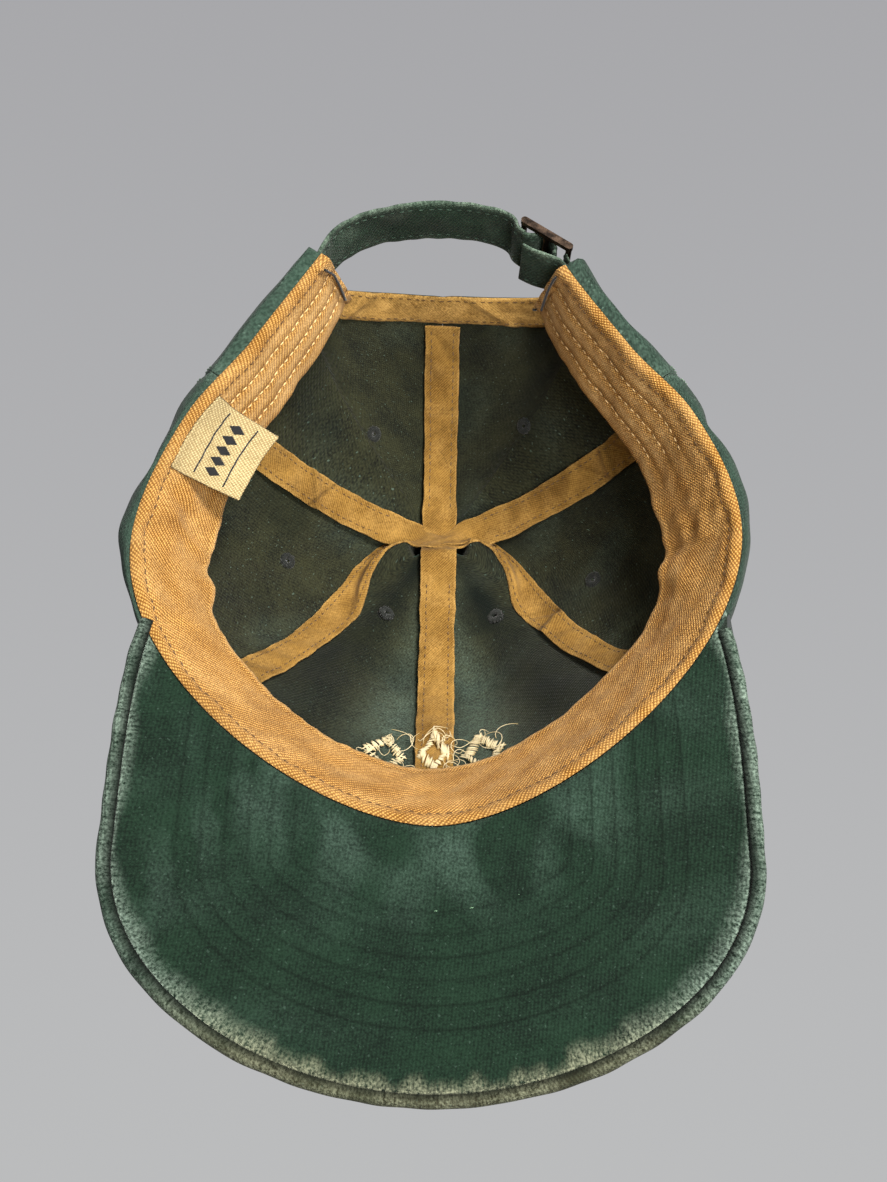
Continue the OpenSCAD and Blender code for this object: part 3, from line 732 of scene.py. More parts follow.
def seam_tape(name, node, first, last, ridge, depth, folds, seed, kinks=()):
    """A tape from one seam's foot, through the ridge points at the apex, to another's foot."""
    a_points, a_axes = arm(*first[:3], depth, first[3])
    b_points, b_axes = arm(*last[:3], depth, last[3])
    ridge_points = np.array([p for p, _ in ridge], float)
    ridge_axes = unit(np.array([a for _, a in ridge], float))
    points = np.concatenate([a_points, ridge_points, b_points[::-1]])
    axes = np.concatenate([a_axes, ridge_axes, -b_axes[::-1]])
    d = walk(points)
    apex_at = d[len(a_points) + len(ridge) // 2]
    s = np.linspace(0, d[-1], int(d[-1] / 0.7))
    points, axes = at_distance(points, d, s), at_distance(axes, d, s)
    near = hump(s, apex_at, 16)[:, None]
    points = points * (1 - near) + blur(points, 40) * near
    axes = unit(axes * (1 - near) + blur(axes, 60) * near)
    for centre, width, slip in kinks:
        shift = slip * smooth((s - centre % s[-1]) / width) * smooth((s[-1] - s) / 25)
        points = points + axes * shift[:, None]
    columns = 19
    share = across_strip(columns)
    normal = unit(np.cross(axes, unit(np.gradient(points, axis=0))))
    inward = 1 if normal[10] @ (APEX - [0, 0, 60] - points[10]) > 0 else -1
    points = points + normal * inward * (1.4 * hump(s, apex_at, 34))[:, None]
    where = points[:, None] + axes[:, None] * (share * TAPE_W / 2)[None, :, None]
    rows = hump(np.abs(share)[None, :], 0.7, 0.12)
    lift = 0.3 * ripple(where, 9, seed) + 0.14 * ripple(where, 4, seed + 1) - 0.14 * rows
    # creases collect painted shade beside each fold
    creases = 0
    for centre, width, high, skew in folds:
        where_along = s[:, None] + skew * TAPE_W * share[None, :] - centre % s[-1]
        lift = lift + high * hump(where_along, 0, width)
        creases = creases + min(0.45, 0.4 * abs(high)) * hump(where_along, width, 0.5 * width)
    edge = 0.3 * ripple(points, 14, seed + 2) + 0.12 * ripple(points, 5, seed + 3)
    front, back, normal, flat = strip_grid(points, axes, TAPE_W / 2, TAPE_T + 0.25, columns,
                                           lift * inward, edge)
    if inward < 0:
        front, back = back, front
    front, back = tuck_under(front, back)
    # painted shade: darker in the creases and along the sunk stitch rows, over random blotches
    shade = 0.15 * smooth(ripple(where, 15, seed + 4)) + 0.06 * rows + creases
    wear = 0.2 * smooth(0.3 + ripple(where, 11, seed + 5)) + 0.25 * (np.abs(share)[None, :] > 0.93)
    piece = place(sheet(name, node, front, back, flat, TAPE, shade=shade + 0 * lift,
                        wear=np.broadcast_to(wear, lift.shape) + 0 * lift))
    threads = Threads()
    for side_share in (-0.7, 0.7):
        line = strip_row(front, side_share)
        for part in (s < apex_at - 22, s > apex_at + 16):
            threads.row(line[part][2:-2], (normal * inward)[part][2:-2], 2.6, 1.5, 0.2, 0.2, seed=seed)
    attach(threads.piece(name + "_stitches", node, THREAD_OLIVE), "root")


BEND = APEX - [0, 0, 9.5]
ON_EDGE = (0, 0.66, 0.75)
seam_tape("centre_tape", "seam_tape_centre", (0, 0, 0.15, 0.89), (3, 0, 0.42, 0.9),
          [(BEND + [0, -5.6, -1.5], (1, 0, 0)), (BEND + [0, -3, 4], (1, 0, 0)),
           (BEND + [0, 2, 6.5], (1, 0, 0))],
          TAPE_DEPTH, [(-42, 2.2, 0.5, 0.3), (-35, 1.5, -0.4, 0.2)], 11)
seam_tape("left_front_tape", "seam_tape_left_front",
          (0, SEAM_FRONT_W, 0.1, 0.89), (-SEAM_BACK_W, 0, 0.1, 0.9),
          [(BEND + [2, -2.4, 0.6], ON_EDGE), (BEND + [-4, -2.0, 1.0], ON_EDGE)], TAPE_DEPTH + 0.3,
          [(-36, 1.6, 0.8, 0.5), (-43, 1.8, -0.8, 0.3), (-50, 2.0, 1.0, -0.2), (-58, 1.5, -0.6, 0.4)], 21)
seam_tape("right_front_tape", "seam_tape_right_front",
          (0, -SEAM_FRONT_W, 0.1, 0.89), (SEAM_BACK_W, 0, 0.1, 0.9),
          [(BEND + [-1, -0.8, 2.2], (0, -0.66, -0.75)), (BEND + [5, -0.3, 3.4], (0, -0.7, -0.7))],
          TAPE_DEPTH + 0.3,
          [(-36, 1.0, 1.5, 0.15), (-30, 2.5, 0.9, 0.15), (-70, 1.6, 1.2, 0.4), (-74, 1.4, -0.8, -0.2),
           (78, 1.6, 1.2, 0.3), (84, 1.4, -0.8, -0.2)], 31, [(-37, 2.0, 2.4)])


def arch_binding():
    """Folded tape along the gap over the strap, sewn with two rows."""
    along = np.linspace(-86, 86, 170)
    side = np.where(along < 0, -1.0, 1.0)
    b = np.radians(90 - np.abs(along))
    share = np.linspace(-1, 1, 17)
    r = (share + 1) / 2 * 3 - 0.15
    w = side[:, None] * (3 - (1 + 0.05 * r[None, :]) * np.cos(b)[:, None] ** ARCH_POWER)
    v = (ARCH_V + 0.025 * r[None, :]) * np.sin(b)[:, None] ** ARCH_POWER
    p = crown(w, v)
    rows = hump(np.abs(share)[None, :], 0.72, 0.14)
    creases = hump(along[:, None] + 8 * share, -14, 2.5) + hump(along[:, None] - 6 * share, 30, 2.5)
    lift = 0.25 * ripple(p, 10, 41) + 0.15 * ripple(p, 5, 42) - 0.16 * rows
    lift = lift + 0.9 * creases
    t = (TAPE_T + 0.3) * np.sqrt(np.maximum(0, 1 - share**6))
    near = crown_soft(w, v, PANEL_T + 0.25)
    far = crown_soft(w, v, PANEL_T + 0.35 + t[None, :] + np.maximum(lift, -0.2))
    flat = vec(walk(p[:, 8])[:, None], share[None, :] * 6)
    wear = 0.45 + 0.3 * smooth(0.3 + ripple(p, 9, 43)) + 0.2 * (share[None, :] < -0.9)
    piece = sheet("arch_tape", "arch_binding", far, near, flat, TAPE, wear=wear,
                  shade=0.12 * smooth(ripple(p, 12, 44)) + 0 * wear)
    place(piece)
    declare(flat)
    threads = Threads()
    inward = -crown_out(w, v)
    for j in (2, 14):
        threads.row(far[3:-3, j], inward[3:-3, j], 2.9, 1.7, 0.22, 0.25, seed=j)
    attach(threads.piece("arch_stitches", "arch_binding", THREAD_OLIVE), "root")


arch_binding()


def crown_stitches():
    """Two rows of green stitches beside each seam, outside."""
    threads = Threads()
    for fixed, swinging, low in ((0, 0, 0.02), (0, SEAM_FRONT_W, 0.02), (0, -SEAM_FRONT_W, 0.02),
                                 (SEAM_BACK_W, 0, 0.02), (-SEAM_BACK_W, 0, 0.02), (3, 0, ARCH_V + 0.02)):
        v = np.linspace(low, 0.93, 200)
        w = fixed + swinging * swing(v)
        for offset in (-2.6, 2.6):
            off = w + offset / np.maximum(pace(w, v), 12)
            threads.row(crown_soft(off, v), crown_out(off, v), 3.0, 2.2, 0.22, 0.25, seed=5)
    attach(threads.piece("crown_topstitches", "panel_front_left", THREAD_GREEN), "root")


crown_stitches()


# ---------------------------------------------------------------- button
def button():
    """Cloth-covered button: a low dome with the cloth gathered under its edge."""
    out = unit(np.array([0, 0.42, 0.91]))
    a = np.array([1.0, 0, 0])
    b = np.cross(out, a)
    turn = np.linspace(0, 2 * math.pi, 73)
    share = np.linspace(0.02, 1, 20)
    profile = np.array([(6.5 * math.sin(s * 1.75), 3.3 * math.cos(s * 1.75) + 2.9) for s in share])
    gather = 1 + 0.03 * np.sin(turn * 11)[:, None] * smooth((share - 0.7) / 0.3)[None, :]
    ring = a * np.cos(turn)[:, None] + b * np.sin(turn)[:, None]
    reach, high = profile[:, 0] * gather, profile[:, 1]
    outer = APEX + ring[:, None] * reach[..., None] + out * high[None, :, None]
    inner = APEX + ring[:, None] * (reach * 0.9)[..., None] + out * (high - 0.7)[None, :, None]
    flat = outer[..., :2]
    worn = 0.25 + 0.5 * hump(share, 0.75, 0.15)[None, :] + 0 * gather
    piece = place(sheet("button_cloth", "button_cover", outer, inner, flat, GREEN, wear=worn, shade=0 * worn))


button()


# ---------------------------------------------------------------- visor
ROWS_FROM_EDGE = [19 + 6 * i for i in range(6)]
AROUND = 330  # points round the visor
EDGE_LINE = visor_edge(np.linspace(-1, 1, 500))
EDGE_RUN = walk(EDGE_LINE)


def from_edge(p):
    """Distance of points, seen from above, from the visor's edge, and where along the edge they are."""
    flat = p[..., :2].reshape(-1, 2)
    near = np.concatenate([((block[:, None] - EDGE_LINE[None]) ** 2).sum(-1).argmin(1)
                           for block in np.array_split(flat, len(flat) // 4000 + 1)])
    before, after = EDGE_LINE[np.maximum(near - 1, 0)], EDGE_LINE[np.minimum(near + 1, len(EDGE_LINE) - 1)]
    ahead = unit(after - before)
    off = flat - EDGE_LINE[near]
    slip = (off * ahead).sum(1)
    inner = (near > 0) & (near < len(EDGE_LINE) - 1)
    beside = np.abs(off[:, 0] * ahead[:, 1] - off[:, 1] * ahead[:, 0])
    d = np.where(inner, beside, np.linalg.norm(off, axis=1))
    return d.reshape(p.shape[:-1]), (EDGE_RUN[near] + slip).reshape(p.shape[:-1])


def visor_grid(inset, deep=92, start=0.4):
    """Points of the visor seen from above, from beside the rim to the edge less an inset."""
    q = np.linspace(-1, 1, AROUND)[:, None]
    p = np.linspace(0, 1, deep)[None, :] ** 0.85
    a = rim(q * EAR_W) + rim_out(q * EAR_W) * start
    b = visor_edge(q)
    d = np.linalg.norm(b - a, axis=-1, keepdims=True)
    return a + (b - a) * p[..., None] * np.maximum(0.2, 1 - inset / d)


def quilt(flat, d, side):
    """Dents of the stitch rows, and the small hills between them."""
    p = raised(flat, 0)
    dent = sum(hump(d, row, 0.9) for row in ROWS_FROM_EDGE) * (0.75 + 0.25 * ripple(p, 5, 51))
    hills = 0.12 * ripple(p, 9, 52) + 0.25 * ripple(p, 40, 53)
    return side * (-0.42 * dent) + 0.35 * hills


def wear_of(flat, d, run):
    """Fading: loose patches inside, and rubbed streaks along the edge."""
    p = raised(flat, 0)
    from_middle = np.linalg.norm((p[..., :2] - [0, 40]) / [1, 1.15], axis=-1)
    by_band = hump(from_middle, 94, 13) * hump(p[..., 0], 0, 60)
    patches = 0.1 * smooth(ripple(p, 30, 63)) + 0.42 * by_band * smooth(0.4 + ripple(p, 15, 64)) + 0.04
    streak = 0.16 * hump(p[..., 0] + 0.8 * p[..., 1], 8, 9) * smooth((p[..., 0] - 30) / 20)
    patches = patches + streak * smooth(ripple(p, 9, 65) + 0.5)
    front = smooth((-p[..., 1] - 100) / 24)
    corner = hump(-p[..., 1], 104, 20) * smooth((np.abs(p[..., 0]) - 20) / 30)
    along = vec(run, 0 * run, 0)
    reach = 7.2 + 1.2 * ripple(along, 23, 61) + front * 2.6 * smooth(0.3 + ripple(along, 9, 62))
    reach = reach + 3.4 * corner
    ear = smooth((p[..., 1] + 45) / 40)
    rub = smooth((reach + 1.5 * ear - d) / (4.8 + 3 * corner)) * (0.66 + 0.1 * front)
    rub = rub + 0.5 * hump(d, HEM_W + 0.9, 0.6)
    return {"wear": np.clip(patches, 0, 1), "rub": np.clip(rub, 0, 1.2), "age": front, "run": run,
            "from_edge": d}


def merged(a, b):
    return {key: np.concatenate([a[key], b[key]], 1) for key in a}


def visor_covers():
    """The bottom cover, the top one rolled round the edge into a hem, and the rows of stitches."""
    lower = visor_grid(HEM_W + 0.4, start=-0.9)
    d, run = from_edge(lower)
    z = visor_z(lower[..., 0])
    roll = smooth((d - HEM_W - 0.4) / 1.6)
    down = z - 0.95 - 0.85 * np.sqrt(np.clip(roll, 0, 1)) - 0.35 * hump(d, 5.2, 1.6)
    front = raised(lower, down - quilt(lower, d, -1) * smooth((d - 5) / 3))
    back = raised(lower, z - 0.92)
    # painted shade: darker along the stitch grooves and in the strip that the top cover's hem tucks over
    rows = sum(hump(d, row, 0.35) for row in ROWS_FROM_EDGE)
    shade = np.clip(0.85 * smooth((HEM_W + 1.0 - d) / 0.4) + 0.5 * rows, 0, 1)
    under = sheet("visor_under_cloth", "visor_bottom_cover", front, back, lower, VISOR,
                  **wear_of(lower, d, run), shade=shade)
    lip, roll_r, roll_l = 1.9, 1.8, 5.65
    turn_rows, tuck_rows = 15, 5
    upper = visor_grid(lip, 80)[:, :-1]
    plain = upper.shape[1]
    d_up, run_up = from_edge(upper)
    z_up = visor_z(upper[..., 0]) + 1.8 + quilt(upper, d_up, 1) * smooth((d_up - 5) / 3)
    edge = visor_edge(np.linspace(-1, 1, AROUND))
    ahead = unit(np.gradient(edge, axis=0))
    outward = vec(ahead[:, 1], -ahead[:, 0])
    outward = outward * np.sign((outward * (edge - [0, 20])).sum(1, keepdims=True))
    turn = np.linspace(math.pi / 2, -math.pi / 2, turn_rows)
    wave = 0.18 * ripple(raised(edge, 0), 12, 71)[:, None]
    middle = edge - outward * (roll_r + 0.1)
    rolled_out = (roll_r + wave) * np.cos(turn)[None, :]
    rolled_up = roll_r * np.sin(turn)[None, :] + 0 * wave
    tuck = np.linspace(0.25, 1, tuck_rows)[None, :]
    tuck_out = -tuck * (HEM_W - roll_r + 1.0) + 0 * wave
    over_out = np.concatenate([rolled_out, tuck_out], 1)
    over_up = np.concatenate([rolled_up, -roll_r + 0.9 * tuck**2 + 0 * wave], 1)
    turned = middle[:, None] + outward[:, None] * over_out[..., None]
    outer = np.concatenate([raised(upper, z_up),
                            raised(turned, visor_z(edge[:, 0])[:, None] + over_up)], 1)
    thin = outward[:, None] * (np.cos(turn) * 0.5)[None, :, None] + 0 * turned[:, :turn_rows]
    thin = np.concatenate([thin, 0 * turned[:, turn_rows:]], 1)
    thin_up = np.concatenate([np.sin(turn)[None, :] * 0.5 + 0 * wave, -0.4 + 0 * tuck_out], 1)
    inner = np.concatenate([raised(upper, visor_z(upper[..., 0]) + 0.95),
                            outer[:, plain:] - raised(thin, thin_up)], 1)
    along = np.concatenate([roll_l * np.linspace(0, 1, turn_rows), roll_l + tuck[0] * 2.2])
    flat = np.concatenate([upper, middle[:, None] + outward[:, None] * along[None, :, None]], 1)
    d_turn = np.concatenate([lip - rolled_out, lip - tuck_out], 1)
    run_turn = np.broadcast_to(walk(edge)[:, None], d_turn.shape)
    looks = merged(wear_of(upper, d_up, run_up), wear_of(turned, d_turn, run_turn))
    looks["rub"][:, plain:] = np.clip(0.42 + 0.3 * ripple(outer[:, plain:], 16, 72), 0, 1)
    looks["brown"] = looks["age"] * 0
    looks["brown"][:, plain:] = 0.4 * looks["age"][:, plain:]
    # painted shade on the hem's tucked end, darker the further it turns in under the roll
    shade = np.concatenate([np.zeros((AROUND, plain + turn_rows)),
                            np.broadcast_to(0.2 + tuck * 0.8, (AROUND, tuck_rows))], 1)
    over = sheet("visor_top_cloth", "visor_top_cover", outer, inner, flat, VISOR, **looks, shade=shade)
    for piece, grid in ((under, lower), (over, flat)):
        place(piece)
        declare(grid)
    threads, top = Threads(), Threads()
    inner_rim = rim(np.linspace(-EAR_W, EAR_W, 300))
    for number, row in enumerate(ROWS_FROM_EDGE):
        line = edge - outward * row
        gap = np.sqrt(((line[:, None] - inner_rim[None]) ** 2).sum(-1).min(1))
        clear = (from_edge(line)[0] > row - 0.6) & (gap > 4.5) & (line[:, 1] < 5)
        low = high = len(line) // 2
        while low > 0 and clear[low - 1]:
            low -= 1
        while high < len(line) - 1 and clear[high + 1]:
            high += 1
        line = line[low : high + 1]
        z0 = visor_z(line[:, 0])
        below, above = raised(line, z0 - 1.8 + 0.2), raised(line, z0 + 1.8 - 0.38)
        threads.row(below, np.broadcast_to([0.0, 0, -1], below.shape), 3.3, 2.0, 0.24, 0.3, seed=number)
        top.row(above, np.broadcast_to([0.0, 0, 1], above.shape), 3.5, 2.7, 0.21, 0.35, seed=number)
    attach(threads.piece("visor_under_stitches", "visor_bottom_cover", THREAD_GREEN), "root")
    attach(top.piece("visor_top_stitches", "visor_top_cover", THREAD_GREEN), "root")


visor_covers()


# ---------------------------------------------------------------- sweatband
def sweatband():
    """Padded band: flat and turned over at the front, quilted in channels at the sides."""
    t = np.linspace(-1, 1, 520)[:, None]
    v = np.linspace(0, 1, 44)[None, :]
    w = t * (2 + 0.22 * v)
    u = np.abs(w)
    p = band_point(w, v, 0)
    channels = smooth((u - 1.2) / 0.25)
    depth = BAND_T + 0 * w
    for level in CHANNELS:
        depth = depth - 0.5 * channels * hump(v, level, 0.03)
    depth = depth + 0.35 * channels
    depth = depth - 0.35 * hump(v, 0.1, 0.03) * (1 - channels)
    depth = depth + 0.55 * smooth((v - 0.88) / 0.03) * (1 - channels)
    depth = depth + 0.35 * ripple(p, 22, 81) + 0.2 * ripple(p, 8, 82)
    pucker = ripple(p, 5, 83, (1, 1, 0.25)) * (1 - channels)
    depth = depth + 0.16 * pucker * (hump(v, 0.1, 0.12) + hump(v, 0.93, 0.1))
    side = np.sign(w)
    fold = hump(u, 0.86 + 0.1 * v, 0.05) * smooth((v - 0.35) / 0.4)
    dip = hump(u, 0.97 + 0.1 * v, 0.05) * smooth((v - 0.4) / 0.5)
    depth = depth + 1.8 * fold - 1.0 * dip
    crumple = hump(u, 1.12, 0.13) * hump(v, 0.55, 0.5)
    depth = depth + crumple * (0.9 * ripple(p, 9, 86, (1, 1, 0.35)) + 0.45 * ripple(p, 4.5, 87, (1, 1, 0.4)))
    for centre, width, high in ((1.12, 0.03, 0.8), (1.2, 0.025, 0.6), (1.3, 0.03, 0.55)):
        depth = depth + high * hump(u + 0.12 * v, centre, width) * (side > 0) * hump(v, 0.5, 0.45)
    hem = smooth((np.abs(t) - 0.965) / 0.006)
    depth = depth + 0.55 * hem - 0.3 * hump(np.abs(t), 0.962, 0.004)
    rounding = np.sqrt(np.clip(1 - (1 - np.clip(v / 0.07, 0, 1)) ** 2, 0, 1))
    rounding = rounding * (0.35 + 0.65 * np.sqrt(np.clip(1 - (1 - np.clip((1 - v) / 0.04, 0, 1)) ** 2, 0, 1)))
    front = band_point(w, v, np.maximum(0.05, depth * rounding))
    back = band_point(w, v, -0.05 + 0 * w + 0.9 * fold - 0.6 * dip)
    front[..., 2] -= 0.4 * hump(v, 0.03, 0.03)
    along = walk(p[:, 10])[:, None]
    rise = np.linalg.norm(np.diff(front, axis=1), axis=-1)
    flat = vec(along + 0 * v, np.concatenate([0 * along, np.cumsum(rise, 1)], 1))
    wear = (0.12 + 0.35 * hump(v, 0.955, 0.03) * (1 - channels)
            + 0.4 * channels * hump((v - 0.06) % 0.23, 0.115, 0.05) * (v > 0.1))
    wear = wear + 0.12 * ripple(p, 12, 84)
    # partly painted shade: darker in the groove under the turned-over top and over the foot, which faces the
    # lamps; the ripple adds random blotches
    shade = (0.25 * hump(v, 0.885, 0.012) * (1 - channels) + 0.12 * smooth(ripple(p, 26, 85))
             + 0.3 * (1 - smooth(v / 0.075)))
    piece = place(sheet("sweatband_cloth", "sweatband_face", front, back, flat, BAND,
                        wear=np.clip(wear + 0 * w, 0, 1), shade=np.clip(shade + 0 * w, 0, 1)))
    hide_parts("sweatband_core", "sweatband_back")
    normal = -raised(rim_out(w), 0.35 + 0 * w)
    foot, tan_threads = Threads(), Threads()
    j = 4
    foot.row(front[8:-8, j], unit(normal[8:-8, j]), 2.9, 1.9, 0.24, 0.3, seed=8)
    for level in CHANNELS:
        j = int(round(level * 43))
        for part in (slice(8, 92), slice(-92, -8)):
            tan_threads.row(front[part, j], unit(normal[part, j]), 2.8, 2.2, 0.2, 0.25, seed=j)
    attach(foot.piece("sweatband_foot_stitches", "sweatband_face", THREAD_OLIVE), "root")
    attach(tan_threads.piece("sweatband_channel_stitches", "sweatband_face", THREAD_TAN), "root")


sweatband()


def bar_tacks():
    """Thick black zigzags that hold the strap's ends in the corners."""
    threads = Threads()
    for side, t0, t1, v0, v1 in ((1, 0.975, 0.965, 0.06, 0.84), (-1, 0.985, 0.955, 0.1, 0.8),
                                 (-1, 0.982, 0.992, 0.93, 0.99)):
        steps = np.linspace(0, 1, 60)
        tt, vv = t0 + (t1 - t0) * steps, v0 + (v1 - v0) * steps
        ww = side * tt * (2 + 0.22 * vv)
        line = band_point(ww, vv, BAND_T + 1.3 + 0.1 * ripple(vec(ww * 50, vv * 30, 0), 6, 9))
        up = -raised(rim_out(ww), 0)
        across = unit(np.cross(up, np.gradient(line, axis=0)))
        line = line + across * (np.arange(60) % 2 * 0.24 - 0.12)[:, None]
        threads.tubes(line[None], up[None], np.full(60, 0.38))
    place(threads.piece("bar_tack_threads", "bar_tacks", THREAD_BLACK))


bar_tacks()


# ---------------------------------------------------------------- strap, loop, tail, tab and buckle
def strap_piece(name, node, line, half, thickness, seed, fuzzy=1.0):
    """An upright folded strap along a line seen from above, with a row of stitches at each edge."""
    points = even(raised(np.asarray(line, float), STRAP_Z + STRAP_W / 2), 0.8)
    points = blur(points, 6)
    up = np.tile([0.0, 0, 1], (len(points), 1))
    columns = 25
    share = across_strip(columns)
    where = points[:, None] + up[:, None] * (share * half)[None, :, None]
    rolls = 0.5 * hump(np.abs(share), 0.9, 0.12)
    lift = 0.35 * ripple(where, 16, seed) + 0.15 * ripple(where, 6, seed + 1)
    edge = 0.2 * ripple(points, 11, seed + 2)
    front, back, normal, flat = strip_grid(points, up, half, thickness, columns, lift, edge)
    thick = (rolls[None, :] * 0.6 * fuzzy)[..., None] * normal[:, None]
    front, back = front + thick * 0.6, back - thick * 0.6
    wear = (0.08 + 0.5 * hump(share, -1, 0.12)[None, :] * (0.8 + 0.3 * ripple(where, 7, seed + 3))
            + 0.35 * hump(share, 1, 0.1)[None, :] + 0.18 * smooth(ripple(where, 13, seed + 4)))
    # painted shade along the sunk stitch rows inside the rolled edges
    shade = 0.3 * hump(np.abs(share), 0.72, 0.06)[None, :] + 0 * wear
    shade = shade + 0.3 * smooth(ripple(where, 15, seed + 6))
    piece = sheet(name, node, front, back, flat, STRAP, wear=np.clip(wear, 0, 1),
                  shade=np.clip(shade, 0, 1))
    threads = Threads()
    for s in (-0.72, 0.72):
        for face, up_there in ((front, normal), (back, -normal)):
            threads.row(strip_row(face, s)[2:-2], up_there[2:-2], 3.0, 2.1, 0.2, 0.25, seed=seed)
    return piece, threads.piece(name + "_stitches", node, THREAD_STRAP)


def strap_all():
    """The strap, its loop over the buckle's bar, its loose end, and the tab that holds the buckle."""
    end = buckle_point(BUCKLE_L + 1.8, 0)
    w = np.linspace(1.88, 3.42, 60)
    inset = np.where(wrap(w) < 0, 0, ease([(1.9, 2.6), (2.3, 0)], w))
    line = np.concatenate([rim(w) - rim_out(w) * inset[:, None],
                           [rim(-2.5) * 0.4 + end * 0.6 + [-0.4, 0.3], buckle_point(BUCKLE_L + 0.2, -0.1),
                            buckle_point(15.4, -0.35)]])
    piece, stitches = strap_piece("strap_cloth", "strap", line, STRAP_W / 2, STRAP_T, 101)
    for part in (piece, stitches):
        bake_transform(part)
    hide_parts("strap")
    x = (BUCKLE_L - 2) / 2
    top = PLATE_Y + BAR_R + 0.15 + STRAP_T / 2
    rest = PLATE_Y - BAR_R - 0.65 - STRAP_T / 2
    route = [(BUCKLE_L - 3.2, -0.2), (x + 6.2, rest + 0.4), (x + 4.2, 0.4), (x + 2.6, top - 0.7),
             (x, top + 0.1), (x - 2.6, top - 0.7), (x - 4.2, 0.6), (x - 5.0, -0.9)]
    loop, loop_stitches = strap_piece("strap_loop_cloth", "strap_loop", [buckle_point(*p) for p in route],
                                      STRAP_W / 2 - 0.4, STRAP_T, 111, fuzzy=0.4)
    place(loop)
    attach(loop_stitches, "buckle")
    start = buckle_point(2.3, -1.4)
    tail = [buckle_point(*p) for p in ((13.0, -4.3), (9.5, -4.0), (5.2, -3.0))] + [start + TAIL_DIR * 2.5]
    tail = tail + [start + TAIL_DIR * TAIL_L * s for s in (0.3, 0.65, 1)]
    piece, stitches = strap_piece("strap_tail_cloth", "strap_tail", tail, STRAP_W / 2, STRAP_T, 121,
                                  fuzzy=0.5)
    for part in (piece, stitches):
        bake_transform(part)
    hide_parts("strap_tail")
    round_bar = BAR_R + 0.6
    route = [buckle_point(math.cos(a) * round_bar, PLATE_Y + math.sin(a) * round_bar)
             for a in map(math.radians, range(-100, 101, 20))]
    sewn = [rim(np.array(w)) - rim_out(np.array(w)) * 1.45 for w in (-1.93, -1.99)]
    tab, tab_stitches = strap_piece("buckle_tab_cloth", "buckle_tab", sewn + route, STRAP_W / 2 - 1, 0.7, 131,
                                    fuzzy=0.3)
    place(tab)
    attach(tab_stitches, "root")


strap_all()


# ---------------------------------------------------------------- label and embroidery
def label_point(w, s, t):
    """Point at share s of the label's height and t above its back."""
    foot, out = band_point(w, LABEL_FOOT_V, BAND_T + 0.5), rim_out(w)
    low, high = LABEL_LEAN
    inward = LABEL_H * (math.sin(low) * s + (math.sin(high) - math.sin(low)) * s * s / 2)
    up = LABEL_H * (math.cos(low) * s + (math.cos(high) - math.cos(low)) * s * s / 2)
    lean = low + (high - low) * s
    flap = raised(foot[..., :2] - out * np.asarray(inward + t * np.cos(lean))[..., None],
                  foot[..., 2] + up - t * np.sin(lean))
    across = unit(band_point(np.array(1.385), LABEL_FOOT_V, 0) - band_point(np.array(1.365), LABEL_FOOT_V, 0))
    return flap + across * (4 * np.asarray(s))[..., None]


def label_lift(w, s):
    p = label_point(w, s, 0)
    corner = smooth((s - 0.7) / 0.3) * smooth((1.33 - w) / 0.07)
    return 0.4 * ripple(p, 17, 141) + 0.15 * ripple(p, 6, 142) - 0.8 * corner


def label():
    """Woven label with a plain row of diamonds between two lines, and no lettering."""
    s, h = np.linspace(0, 1, 60)[:, None], np.linspace(0, 1, 70)[None, :]
    w = LABEL_FROM_W + LABEL_SPAN_W * s + 0 * h
    rounded = 0.3 * (np.sqrt(np.clip(1 - (2 * s - 1) ** 10, 0, 1))
                     * np.sqrt(np.clip(1 - (2 * h - 1) ** 12, 0, 1)))
    lift = label_lift(w, h + 0 * s) + 0.25
    front, back = label_point(w, h + 0 * s, lift + rounded), label_point(w, h + 0 * s, lift - rounded)
    flat = vec(LABEL_W * s + 0 * h, LABEL_H * h + 0 * s)
    piece = place(sheet("label_cloth", "woven_label", front, back, flat, LABEL, wear=0.15 + 0 * w,
                        shade=0.3 * hump(h, 0.05, 0.012) + 0.12 * hump(h, 0.1, 0.02) + 0 * w))
    marks = Threads()

    def mark(ss, hh, radius):
        ww = LABEL_FROM_W + LABEL_SPAN_W * ss
        line = label_point(ww, hh, label_lift(ww, hh) + 0.6)
        up = np.cross(np.gradient(line, axis=0), [0, 0, 1.0])
        marks.tubes(line[None], unit(up)[None], np.full(len(ss), radius))

    for k in range(5):
        for x in np.linspace(-1, 1, 13):
            reach = (1 - abs(x)) * 0.11 + 0.003
            mark(np.full(7, 0.2 + 0.15 * k + x * 0.058), 0.52 + np.linspace(-reach, reach, 7), 0.2)
    for level in (0.3, 0.74):
        mark(np.linspace(0.08, 0.92, 60), np.full(60, level), 0.25)
    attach(marks.piece("label_motif", "woven_label", THREAD_BLACK), "label")


label()


def satin(threads, corners, depth, inward, seed, gap=0.42, radius=0.26):
    """Rows of thread that fill a shape given by two edges in (w, v)."""
    rng = np.random.default_rng(seed)
    (a0, a1), (b0, b1) = corners
    a0, a1, b0, b1 = [np.array(c, float) for c in (a0, a1, b0, b1)]
    span = np.linalg.norm(crown(*a0) - crown(*a1))
    count = max(3, int(span / gap))
    s = np.linspace(0, 1, count)[:, None]
    start, end = a0 + (a1 - a0) * s, b0 + (b1 - b0) * s
    f = np.linspace(0, 1, 7)
    wv = start[:, None] + (end - start)[:, None] * f[None, :, None]
    wv = wv + rng.normal(size=(count, 1, 2)) * [0.004, 0.002]
    arch = np.sin(f * math.pi) * 0.3
    p = crown_soft(wv[..., 0], wv[..., 1], depth + inward * arch[None, :])
    up = crown_out(wv[..., 0], wv[..., 1]) * (-inward)
    threads.tubes(p, up, radius * np.array([0.7, 1, 1, 1, 1, 1, 0.7]))


